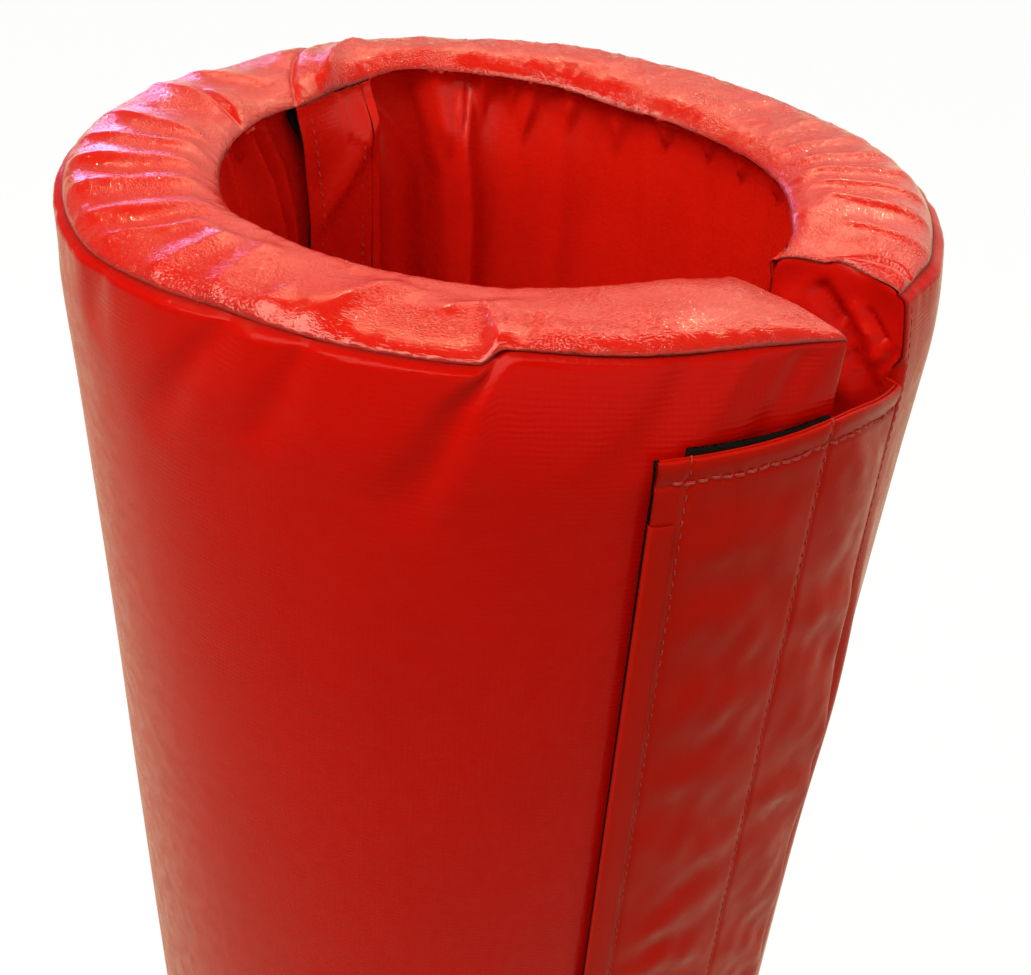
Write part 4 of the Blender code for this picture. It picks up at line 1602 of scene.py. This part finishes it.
    def place(self, across: Array, down: Array, out: Array) -> Array:
        """Places on the flap.

        Args:
            across: Places in mm from its seam.
            down: Places in mm under its top edge.
            out: Places in mm out from its back.

        Returns:
            The points.
        """
        height = self.sizes.flap_high - (down + self.top_drop(across) * ease(1.0 - down / 120.0)) * MM
        height = np.maximum(height, self.sizes.flap_low - 0.2 * MM)
        front = np.clip(out / (2 * self.ply_roll), 0, 1)
        shift = self.waves(across, height) - self.rows_groove(across, down) * front
        plump = 0.55 * bell(down - 2.6, 2.6) * front
        crisp = 0.25 * np.exp(-(self.width - across) / 1.2) * front
        depth = (self.sizes.seam_high - height) / MM
        radius = self.level(across, depth) + (out + shift + plump - crisp) * MM
        return polar(radius, self.angle_at(across), height)

    def build(self) -> list[Piece]:
        """Builds the flap's plies, hem, tapes and stitches.

        Returns:
            The pieces.
        """
        made = [self.face(), self.backing(), self.side_hem_strip(), self.hook_tape(), self.body_tape()]
        return made + self.thread_rows()

    def face(self) -> Piece:
        """Builds the face ply, with its folded hems at the top and bottom.

        Returns:
            The face ply.
        """
        half_turn = math.pi * self.ply_roll
        front = self.hem + half_turn
        end = front + self.tall - 2 * self.ply_roll
        stops = (0.0, self.hem, front, front + 12.0, front + 70.0, front + 420.0, end - 14.0, end)
        stops += (end + half_turn, end + half_turn + self.hem)
        run = stations(*stops, steps=(2.5, 0.34, 0.7, 2.2, 3.4, 7.0, 1.0, 0.34, 2.5))
        # Columns are close together at the rows of thread.
        stops = (0.0, 3.2, self.fold - 2.5, self.fold + 4.0, self.tape_end - 4.0)
        stops += (self.width - 6.0, self.width)
        across = stations(*stops, steps=(0.4, 1.8, 0.5, 1.8, 0.5, 0.8))
        grid = self.ply_points(across[:, None], run[None, :], self.ply_roll, 0.0)
        piece = self.sheet_of(across, run, grid, CLOTH).cut("flap_face_ply")
        self.seat_over_fold(piece, Slot.FLAP, "flap_face_root", "flap_face_tip")
        return piece

    def sheet_of(self, across: Array, run: Array, grid: Array, thickness: float) -> ClothSheet:
        """A cloth sheet with the flap's own lay, whose grain runs up the flap.

        Args:
            across: Places of the columns, in mm from the flap's seam.
            run: Places of the rows along the cloth, in mm.
            grid: The points.
            thickness: The cloth's thickness in metres.

        Returns:
            The sheet.
        """
        place = across[:, None] * MM
        lay = (place, 0.3 - run[None, :] * MM, np.minimum(place, self.width * MM - place))
        toward = polar(1.0, self.angle_at(across), 0.0 * across)
        facing = turned_normals(grid, np.s_[:, grid.shape[1] // 2], toward)
        return ClothSheet(grid, lay, facing, thickness)

    def seat_over_fold(self, piece: Piece, slot: Slot, *nodes: str) -> Piece:
        """Fixes a piece's place into its mesh, and hides the nodes that it stands for.

        Args:
            piece: The piece.
            slot: Not used.
            nodes: Names of the nodes.

        Returns:
            The same piece.
        """
        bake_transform(piece)
        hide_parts(*nodes)
        return piece

    def backing(self) -> Piece:
        """Builds the backing ply, whose folded top shows behind the face.

        Returns:
            The backing ply.
        """
        across = stations(0.0, self.width - 0.8, steps=(2.2,))
        front = self.hem + math.pi * self.backing_roll
        end = front + self.tall - 2 * self.backing_roll
        stops = (0.0, self.hem, front, front + 12.0, front + 60.0, end - 4.0, end)
        run = stations(*stops, steps=(2.5, 0.25, 1.2, 4.0, 14.0, 0.8))
        behind_by = 2 * self.backing_roll + 0.06
        grid = self.ply_points(across[:, None], run[None, :], self.backing_roll, behind_by)
        piece = self.sheet_of(across, run, grid, self.thin_ply * MM).cut("flap_backing_ply")
        self.seat_over_fold(piece, Slot.FLAP, "flap_backing_root", "flap_backing_tip")
        return piece

    def side_hem_strip(self, wrap: float = 1.35) -> Piece:
        """Builds the narrow strip folded round the flap's free edge, with a turn of a radius in mm.

        Args:
            wrap: The radius.

        Returns:
            The strip.
        """
        stops = (self.side_hem_start, self.side_hem_start + 4.0, self.tall - 1.0)
        down = stations(*stops, steps=(0.8, 4.0))[None, :]
        reach = self.side_hem
        bend = reach - 1.0
        stretches = (
            stations(0.0, bend, steps=(1.0,)),
            bend + stations(0.4, math.pi * wrap, steps=(0.35,)),
            bend + math.pi * wrap + stations(0.8, reach - 2.0, steps=(1.2,)),
        )
        path = np.concatenate(stretches)
        turn = np.clip((path - bend) / wrap, 0, math.pi)
        flat_back = np.clip(path - bend - math.pi * wrap, 0, None)
        across = self.width - reach + np.minimum(path, bend) + wrap * np.sin(turn) * 0.9 - flat_back
        out = self.ply_roll + 0.25 + (wrap + 0.15) * np.cos(turn)
        down = down + 0 * path[:, None]
        across_grid = across[:, None] + 0 * down
        tuck = 0.35 * (np.exp(-(down - self.side_hem_start) / 1.0))
        front = self.place(across_grid, down, np.full_like(down, 2 * self.ply_roll))
        behind = self.place(across_grid, down, np.zeros_like(down))
        grid = behind + (front - behind) * ((out[:, None] - tuck) / (2 * self.ply_roll))[..., None]
        toward = polar(1.0, self.angle_at(across[:1]), 0.0 * across[:1])[0]
        lay = (path[:, None] * MM, 0.2 - down * MM, 0.004)
        sheet = ClothSheet(grid, lay, turned_normals(grid, np.s_[:3], toward), self.thin_ply * MM)
        piece = seat(sheet.cut("flap_side_hem_strip"), Body.FLAP_TIP, Slot.FLAP, "flap_side_hem")
        return piece

    def hook_tape(self) -> Piece:
        """Builds the hook tape behind the flap, which shows a little above its top edge.

        Returns:
            The tape.
        """
        across = stations(self.fold, self.tape_end, steps=(2.5,))
        down = stations(-2.0, 4.0, self.tall - 0.5, steps=(0.8, 16.0))
        slant = 1.4 * (self.tape_end - across[:, None]) / self.tape_width
        slant = slant * np.exp(-(down[None, :] + 2.0) / 6.0)
        grid = self.place(across[:, None] + 0 * down, down[None, :] + slant, np.full((1, 1), -1.0))
        piece = self.sheet_of(across, down, grid, TAPE * 0.8).cut("flap_hook_strip")
        seat(piece, Body.FLAP_TIP, Slot.TAPE, "flap_hook_tape")
        return piece

    def body_tape(self) -> Piece:
        """Builds the loop tape on the outer cover, under the flap, ending just inside its free edge.

        Returns:
            The tape.
        """
        across = stations(self.fold, self.width + self.tape_show, steps=(2.0,))
        down = stations(2.5, 6.0, self.tall, steps=(1.0, 9.0))
        depth = (down + (self.sizes.seam_high - self.sizes.flap_high) / MM)[None, :]
        angle = self.angle_at(across)[:, None] + 360.0
        radius = self.cover.wall_radius(angle, depth) + (0.25 + 1.2) * MM
        grid = polar(radius, angle, self.sizes.seam_high - depth * MM)
        piece = self.sheet_of(across, down, grid, TAPE).cut("body_loop_strip")
        seat(piece, Body.LEFT, Slot.TAPE, "body_loop_tape")
        return piece

    def thread_rows(self) -> list[Piece]:
        """Builds the rows of thread on the flap and beside the slit.

        Returns:
            The rows.
        """
        made = []
        for end, down in (("top", self.row_inset), ("bottom", self.tall - self.row_inset)):
            across = np.linspace(3.0, self.width - 4.5, 400)
            rows = self.row(f"flap_{end}_stitches", across, np.full_like(across, down), 4.0, 1.0, 0.6, 0.85)
            nodes = (f"flap_{end}_stitch_{part}" for part in ("root", "tip"))
            made.append(self.seat_over_fold(rows, Slot.THREAD, *nodes))
        inset = self.tape_row_inset
        for edge, place in (("edge", self.tape_end - inset), ("tape", self.fold + inset)):
            down = np.linspace(-2.0, self.tall - 1.0, 2400)
            rows = self.row(f"flap_{edge}_stitches", np.full_like(down, place), down, 4.4, 0.6, 0.27, 0.35)
            made.append(seat(rows, Body.FLAP_TIP, Slot.THREAD, f"flap_{edge}_stitch"))
        depth = np.linspace(4.0, self.sizes.length - 4.0, 2400)
        angle = np.full_like(depth, SLIT_RIGHT + math.degrees(3.8 * MM / self.sizes.outer_radius))
        line = self.cover.wall_points(angle[:, None], depth[:, None])[:, 0]
        facing = polar(1.0, angle, 0 * depth)
        rows = stitch_row("slit_edge_stitches", line, facing, pitch=3.8, share=0.82, thread=0.12)
        made.append(seat(rows, Body.RIGHT, Slot.THREAD, "slit_edge_stitch"))
        return made

    def row(self, name: str, across: Array, down: Array, *stitch: float) -> Piece:
        """A row of stitches on the flap's face, with stitch_row's pitch, share, thread and sway."""
        line = self.place(across, down, np.full_like(across, 2 * self.ply_roll))
        return stitch_row(name, line, polar(1.0, self.angle_at(across), 0 * across), *stitch)


def linear(code: str) -> tuple[float, float, float, float]:
    """The linear colour of an sRGB hex code."""
    parts = [int(code[i : i + 2], 16) / 255 for i in (1, 3, 5)]
    channels = [p / 12.92 if p <= 0.04045 else ((p + 0.055) / 1.055) ** 2.4 for p in parts]
    return (*channels, 1.0)


def fill(tree: bpy.types.NodeTree, node: bpy.types.Node, sockets: dict) -> None:
    """Fills a node's sockets with values or links.

    Args:
        tree: The node tree.
        node: The node.
        sockets: A value or another node's output for each socket's name or number.
    """
    for key, value in sockets.items():
        if isinstance(value, bpy.types.NodeSocket):
            tree.links.new(value, node.inputs[key])
        else:
            node.inputs[key].default_value = value


def add_node(
    tree: bpy.types.NodeTree, kind: str, sockets: dict | tuple = (), out: int | str = 0, **settings: Any
) -> bpy.types.NodeSocket:
    """Adds a node with its settings, and fills its sockets with values or links.

    Args:
        tree: The node tree.
        kind: The node's type, without ShaderNode before it, and its operation after a dot.
        sockets: What goes into its sockets, in their order or by their names or numbers.
        out: The name or number of the output to give back.
        **settings: The node's own properties.

    Returns:
        The node's output.
    """
    kind, _, operation = kind.partition(".")
    node = tree.nodes.new("ShaderNode" + kind)
    if operation:
        settings["operation"] = operation
    for key, value in settings.items():
        setattr(node, key, value)
    fill(tree, node, sockets if isinstance(sockets, dict) else dict(enumerate(sockets)))
    return node.outputs[out]


def new_material(name: str) -> tuple[bpy.types.Material, bpy.types.NodeTree, bpy.types.Node]:
    """A new material, with its node tree and its shader."""
    material = bpy.data.materials.new(name)
    material.use_nodes = True
    return material, material.node_tree, material.node_tree.nodes["Principled BSDF"]


@dataclass(frozen=True)
class CoatedFabric:
    """Polyester fabric with a PVC coat, calendered and glossy.

    The coat is smooth and takes sharp reflections, the woven scrim under it shows as fine ridges, and where
    the sheet is creased the coat breaks into a fine crackle that glitters. Sizes and heights are in mm.
    """

    name: str
    colour: str
    deep: str
    gloss: float
    dull: float
    specular: float
    ridge_pitch: float = 1.7
    ridge_height: float = 0.012
    ridges_upright: bool = False
    crackle: float = 0.03
    crackle_size: float = 1.1
    crackle_least: float = 0.12
    # How strongly painted shade darkens the base colour in the seams' grooves.
    painted_seam_shade: float = 0.3
    bead_reach: float = 1.5
    bead_height: float = 0.6
    hatch: float = 1.6
    hatch_length: float = 5.0
    patch: float = 22.0

    def make(self) -> bpy.types.Material:
        """Builds the material.

        Returns:
            The material.
        """
        material, tree, shader = new_material(self.name)
        add = partial(add_node, tree)
        cloth = add("Attribute", out="Vector", attribute_name="cloth")
        across, along, seam = add("SeparateXYZ", (cloth,)).node.outputs
        # Uneven values by their size in mm, their detail and how rough they are.
        patches, wander, slub, grit, beads, tone, rough = (
            add(
                "TexNoise",
                {"Vector": cloth, "Scale": 1 / (size * MM), "Detail": fine, "Roughness": keen},
                "Fac",
            )
            for size, fine, keen in (
                (self.patch, 3.0, 0.55),
                (14.0, 1.0, 0.5),
                (7.0, 2.0, 0.6),
                (self.crackle_size, 1.5, 0.6),
                (2.1, 1.0, 0.5),
                (55.0, 3.0, 0.6),
                (9.0, 4.0, 0.65),
            )
        )
        near_seam, at_seam = (
            add("Math.EXPONENT", (add("Math.MULTIPLY", (seam, -1.0 / (reach * MM))),))
            for reach in (self.bead_reach, 0.7)
        )

        # The scrim: two sets of ridges, wavering and of uneven height.
        wander = add("Math.MULTIPLY", (wander, 7.0))
        main, other = (across, along) if self.ridges_upright else (along, across)
        strand, cross = (
            add("Math.SINE", (add("Math.MULTIPLY_ADD", (way, wave / MM, wander)),))
            for way, wave in (
                (main, math.tau / self.ridge_pitch),
                (other, math.tau / (1.1 * self.ridge_pitch)),
            )
        )
        scrim = add("Math.MULTIPLY_ADD", (cross, 0.35, strand))
        scrim = add("Math.MULTIPLY", (scrim, add("MapRange", (slub, 0.35, 0.7, 0.25))))

        # The crackle: fine grit and a slanting hatch, in patches.
        patches = add("MapRange", (patches, 0.42, 0.62, self.crackle_least))
        slant = add(
            "CombineXYZ",
            tuple(
                add("Math.MULTIPLY", (add("Math.MULTIPLY_ADD", lean), 1.0 / (size * MM)))
                for lean, size in (
                    ((across, -0.36, along), self.hatch),
                    ((along, 0.36, across), self.hatch * self.hatch_length),
                )
            ),
        )
        hatch = add("TexNoise", {"Vector": slant, "Scale": 1.0, "Detail": 1.0}, "Fac")
        grit, hatch = (
            add("Math.ABSOLUTE", (add("Math.SUBTRACT", (part, 0.5)),))
            for part in (grit, hatch)
        )
        grit = add("Math.MULTIPLY", (add("Math.MULTIPLY", (grit, -4.0)), patches))
        hatch = add("Math.MULTIPLY", (hatch, patches))
        grit = add("Math.MULTIPLY_ADD", (hatch, -1.3, grit))

        # Both together, with beads of the coat beside the seams.
        beads = add("Math.MULTIPLY", (add("Math.SUBTRACT", (beads, 0.5)), near_seam))
        relief = add("Math.MULTIPLY", (scrim, self.ridge_height * MM))
        for part, height in ((grit, self.crackle), (beads, self.bead_height)):
            relief = add("Math.MULTIPLY_ADD", (part, height * MM, relief))
        bump = add("Bump", {"Height": relief, "Distance": 1.0, "Strength": 1.0})

        # Two close tones, darkened in the seams by painted shade, and an uneven gloss that is brightest
        # beside them.
        tone = add("Mix", {0: tone, 6: linear(self.colour), 7: linear(self.deep)}, 2, data_type="RGBA")
        # Painted shade: the base colour is darkened towards #6A0604 in the seams' grooves.
        shade_mix = add("Math.MULTIPLY", (at_seam, self.painted_seam_shade))
        tone = add("Mix", {0: shade_mix, 6: tone, 7: linear("#6A0604")}, 2, data_type="RGBA")
        rough = add("MapRange", (rough, 0.3, 0.75, self.gloss, self.dull))
        polish = add("Math.MULTIPLY_ADD", (near_seam, -0.72, 1.0))
        rough = add("Math.MULTIPLY", (rough, polish))
        rough = add("Math.MULTIPLY_ADD", (at_seam, 0.6, rough))
        fill(tree, shader, {"Normal": bump, "Base Color": tone, "Roughness": rough})
        fill(tree, shader, {"IOR": 1.53, "Specular IOR Level": self.specular})
        return material


@dataclass(frozen=True)
class PatternedFinish:
    """A finish with one fine pattern, which gives it both its relief and its two tones.

    size is the pattern's size and relief its depth, in mm.
    """

    name: str
    low: str
    high: str
    size: float
    relief: float
    roughness: float
    strength: float = 1.0
    ior: float = 1.5
    specular: float = 0.5

    def pattern(self, tree: bpy.types.NodeTree) -> bpy.types.NodeSocket:
        """The pattern, from 0 to 1: cells of the size."""
        spot = add_node(tree, "TexCoord", out="Object")
        return add_node(tree, "TexVoronoi", {"Vector": spot, "Scale": 1.0 / (self.size * MM)}, "Distance")

    def make(self) -> bpy.types.Material:
        """Builds the material.

        Returns:
            The material.
        """
        material, tree, shader = new_material(self.name)
        pattern = self.pattern(tree)
        depth = {"Height": pattern, "Distance": self.relief * MM, "Strength": self.strength}
        tones = {0: pattern, 6: linear(self.low), 7: linear(self.high)}
        fill(tree, shader, {"Normal": add_node(tree, "Bump", depth)})
        fill(tree, shader, {"Base Color": add_node(tree, "Mix", tones, 2, data_type="RGBA")})
        fill(tree, shader, {"Roughness": self.roughness, "IOR": self.ior})
        fill(tree, shader, {"Specular IOR Level": self.specular})
        return material


@dataclass(frozen=True)
class HookTape(PatternedFinish):
    """Woven nylon hook-and-loop tape, black: a matte ground under a dense stiff pile."""

    name: str = "black_nylon_tape"
    low: str = "#0A0A0B"
    high: str = "#050506"
    size: float = 0.9
    relief: float = 0.25
    roughness: float = 0.85
    ior: float = 1.53
    specular: float = 0.2

    def pattern(self, tree: bpy.types.NodeTree) -> bpy.types.NodeSocket:
        """The tufts of the pile, which lie as the tape does."""
        cloth = add_node(tree, "Attribute", out="Vector", attribute_name="cloth")
        return add_node(tree, "TexVoronoi", {"Vector": cloth, "Scale": 1.0 / (self.size * MM)}, "Distance")


@dataclass(frozen=True)
class SewingThread(PatternedFinish):
    """Bonded polyester thread, three plies twisted, faded to a dusty pink."""

    name: str = "dusty_pink_thread"
    low: str = "#9C3430"
    high: str = "#C04C46"
    size: float = 0.5
    relief: float = 0.08
    roughness: float = 0.55
    ior: float = 1.57
    specular: float = 0.15

    def pattern(self, tree: bpy.types.NodeTree) -> bpy.types.NodeSocket:
        """The slanting plies, whose waves are a twist long."""
        spot = add_node(tree, "TexCoord", out="Object")
        waves = {"Vector": spot, "Scale": 0.314 / (self.size * MM), "Distortion": 0.6}
        return add_node(tree, "TexWave", waves, "Fac", bands_direction="DIAGONAL")


@dataclass(frozen=True)
class ClosedCellFoam(PatternedFinish):
    """Polyethylene foam, closed-cell and skived: matte white with cells of under a millimetre."""

    name: str = "white_cell_foam"
    low: str = "#DEDCD4"
    high: str = "#B9B6AC"
    size: float = 0.8
    relief: float = 0.2
    roughness: float = 0.9
    strength: float = 0.8


@dataclass
class Studio:
    """The pale floor, the soft light and the camera of the photograph."""

    sizes: PadSizes

    # The camera, measured from the pad's axis and top seam, in metres and degrees.
    camera_distance: float = 0.4515
    camera_rise: float = 0.1748
    azimuth: float = -48.6
    pitch: float = 34.508
    yaw: float = 1.3665
    roll: float = 4.1045
    lens: float = 46.57

    def build(self) -> None:
        """Builds the camera, the floor, the world and the lamps."""
        self.camera()
        self.floor()
        self.world()
        self.lamps()

    def camera(self) -> None:
        """Places the camera as the photograph was taken."""
        pitch, yaw, roll = map(math.radians, (self.pitch, self.yaw, self.roll))
        forward = Vector((math.sin(yaw) * math.cos(pitch), math.cos(yaw) * math.cos(pitch), -math.sin(pitch)))
        right = Vector((math.cos(yaw), -math.sin(yaw), 0.0))
        up = right.cross(forward)
        right, up = (
            right * math.cos(roll) + up * math.sin(roll),
            up * math.cos(roll) - right * math.sin(roll),
        )
        turn = Matrix.Rotation(math.radians(self.azimuth), 4, "Z")
        axes = Matrix((right, up, -forward)).transposed().to_4x4()
        eye = Vector((0.0, -self.camera_distance, self.sizes.seam_high + self.camera_rise))
        data = bpy.data.cameras.new("photo_camera")
        data.lens = self.lens
        data.sensor_width = 36.0
        data.clip_start = 0.01
        camera = bpy.data.objects.new("photo_camera", data)
        camera.matrix_world = turn @ Matrix.Translation(eye) @ axes
        bpy.context.scene.collection.objects.link(camera)
        bpy.context.scene.camera = camera

    def floor(self) -> None:
        """Builds the white floor, which is the whole background of the photograph."""
        half = 15.0
        corners = np.array([[-half, -half, 0], [half, -half, 0], [half, half, 0], [-half, half, 0]], float)
        floor = mesh_object("floor", corners, np.array([[0, 1, 2, 3]]))
        material, tree, shader = new_material("white_painted_floor")
        add = partial(add_node, tree)
        path = add("LightPath").node.outputs
        seen = add("Math.MAXIMUM", (path["Is Camera Ray"], path["Is Glossy Ray"]))
        seen = add("Math.MAXIMUM", (seen, path["Is Transmission Ray"]))
        paint = add("Mix", {0: seen, 6: linear("#93918C"), 7: linear("#F6F5F2")}, 2, data_type="RGBA")
        fill(tree, shader, {"Base Color": paint, "Roughness": 0.8, "Specular IOR Level": 0.1})
        hues = {0: path["Is Camera Ray"], 6: linear("#FFF3CC"), 7: linear("#FFFFFF")}
        glow = add("Emission", {"Color": add("Mix", hues, 2, data_type="RGBA"), "Strength": 1.03})
        share = add("Math.MULTIPLY", (seen, 0.94))
        mix = add("MixShader", (share, shader.outputs[0], glow))
        fill(tree, tree.nodes["Material Output"], {"Surface": mix})
        floor.data.materials.append(material)
        self.backdrop(material)

    def backdrop(self, paint: bpy.types.Material) -> None:
        """Stands a white wall round the floor for low views, which neither lights nor shades the pad.

        Args:
            paint: The wall's material.
        """
        turn = np.linspace(0.0, 360.0, 97)
        ring = polar(14.5, turn[:, None], np.array([[0.0, 12.0]]))
        wall = mesh_object("backdrop", ring.reshape(-1, 3), grid_faces(97, 2))
        wall.data.materials.append(paint)
        for ray in ("diffuse", "glossy", "transmission", "shadow"):
            setattr(wall, f"visible_{ray}", False)

    def world(self) -> None:
        """Sets the room's soft light: pale walls low down, under a dim ceiling."""
        world = bpy.data.worlds.new("soft_room")
        world.use_nodes = True
        bpy.context.scene.world = world
        tree = world.node_tree
        add = partial(add_node, tree)
        spot = add("TexCoord", out="Generated")
        ramp = add("ValToRGB", (add("SeparateXYZ", (spot,), 2),))
        stops = ((0.0, 1.0), (0.44, 1.0), (0.60, 0.24), (1.0, 0.20))
        warm = linear("#FFF4E0")
        band = ramp.node.color_ramp
        while len(band.elements) < len(stops):
            band.elements.new(0.5)
        for element, (place, level) in zip(band.elements, stops):
            element.position = place
            element.color = (*(level * part for part in warm[:3]), 1.0)
        clutter = add("TexNoise", {"Vector": spot, "Scale": 6.5, "Detail": 4.0, "Roughness": 0.6}, "Fac")
        level = add("MapRange", (clutter, 0.38, 0.63, 0.45, 1.6))
        side = math.radians(self.azimuth)
        right = (math.cos(side), math.sin(side), 0.0)
        toward = add("VectorMath.DOT_PRODUCT", (spot, right), "Value")
        level = add("Math.MULTIPLY", (level, add("MapRange", (toward, -0.4, 0.5, 0.3))))
        fill(tree, tree.nodes["Background"], {"Color": ramp, "Strength": level})

    def lamps(self) -> None:
        """Hangs the ceiling lights and the cool window light on the left."""
        top = self.sizes.seam_high
        lamps = [
            ("ceiling_left", 128.0, 50.0, 2.4, (1.9, 1.5), 54.0, "#FFEFD8"),
            ("window_far", 25.0, 3.6, 3.0, (0.9, 0.26), 8.0, "#C0B8FF"),
            ("ceiling_near", 172.0, 62.0, 2.4, (1.2, 0.9), 12.0, "#FFE8C8"),
            ("panel_front", -13.0, 44.0, 2.4, (2.2, 1.1), 21.0, "#FFE4C0"),
        ]
        bulbs = {
            "far_left": (60.0, 50.0),
            "left": (25.0, 36.0),
            "high": (14.0, 62.0),
            "middle": (2.0, 44.0),
            "right": (-22.0, 34.0),
            "far_right": (-50.0, 48.0),
            "side": (95.0, 40.0),
            "near": (-140.0, 55.0),
        }
        bulb = (2.4, (0.06, 0.06), 2.4, "#FFDDA8")
        lamps += [(f"bulb_{name}", *place, *bulb) for name, place in bulbs.items()]
        for name, azimuth, elevation, distance, size, power, colour in lamps:
            data = bpy.data.lights.new(name, "AREA")
            data.shape = "RECTANGLE"
            data.size, data.size_y = size
            data.energy = power
            data.color = linear(colour)[:3]
            lamp = bpy.data.objects.new(name, data)
            # Azimuth counts from the direction that the camera looks in, towards its left.
            heading = math.radians(self.azimuth + 90.0 + azimuth)
            rise = math.radians(elevation)
            level = Vector((math.cos(heading), math.sin(heading), 0.0)) * math.cos(rise)
            away = level + Vector((0.0, 0.0, math.sin(rise)))
            lamp.location = Vector((0.0, 0.0, top)) + away * distance
            lamp.rotation_mode = "QUATERNION"
            lamp.rotation_quaternion = away.to_track_quat("Z", "Y")
            lamp.visible_camera = False
            bpy.context.scene.collection.objects.link(lamp)


def dress(pieces: Sequence[Piece]) -> None:
    """Gives every piece the finish of its part of the pad.

    Args:
        pieces: All the pieces.
    """
    ring = CoatedFabric(
        "glossy_red_vinyl_ring", "#CE1D0D", "#C4180B", 0.07, 0.15, 0.50, crackle=0.22, crackle_size=1.7,
        crackle_least=0.3, ridge_height=0.01, hatch=1.3, hatch_length=4.0, painted_seam_shade=0.9,
    )
    wall = CoatedFabric(
        "glossy_red_vinyl_wall", "#C80C03", "#BC0A02", 0.20, 0.36, 0.07, crackle=0.012, ridge_height=0.03,
        painted_seam_shade=0.85, bead_reach=4.0, bead_height=0.22,
    )
    lining = CoatedFabric(
        "red_vinyl_lining", "#D61A0C", "#C8140A", 0.20, 0.38, 0.22, crackle=0.02, painted_seam_shade=0.1,
    )
    slit = CoatedFabric("red_vinyl_slit_face", "#C8120A", "#B80E06", 0.18, 0.34, 0.08, crackle=0.02)
    flap = CoatedFabric(
        "satin_red_vinyl_flap", "#BE1606", "#AE1004", 0.26, 0.46, 0.06, crackle=0.012, ridges_upright=True,
        ridge_pitch=1.3, ridge_height=0.009,
    )
    wall, thread, tape = wall.make(), SewingThread().make(), HookTape().make()
    # The finish of each piece whose name holds a word, in this order. The rest is lining.
    finishes = {
        "stitches": thread,
        "hook": tape,
        "loop": tape,
        "foam": ClosedCellFoam().make(),
        "flap": flap.make(),
        "slit": slit.make(),
        "top_ring": ring.make(),
        "foot_ring": wall,
        "outer_cover": wall,
        "": lining.make(),
    }
    for piece in pieces:
        finish = next(finish for word, finish in finishes.items() if word in piece.name)
        piece.data.materials.append(finish)
        LOG.info("%s: %s, %d faces", piece.name, finish.name, len(piece.data.polygons))


def main() -> None:
    """Builds the studio and the pad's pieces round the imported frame."""
    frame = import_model()
    bpy.context.scene.view_settings.view_transform = "Standard"
    sizes = PadSizes.from_frame(frame)
    Studio(sizes).build()
    cover = Cover(sizes)
    pieces = cover.build()
    pieces += FoamCore(sizes).build()
    pieces += Lining(sizes, cover).build()
    pieces += ClosingFlap(sizes, cover).build()
    dress(pieces)
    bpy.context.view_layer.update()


if __name__ == "__main__":
    logging.basicConfig(level=logging.INFO, format="%(name)s: %(message)s")
    main()
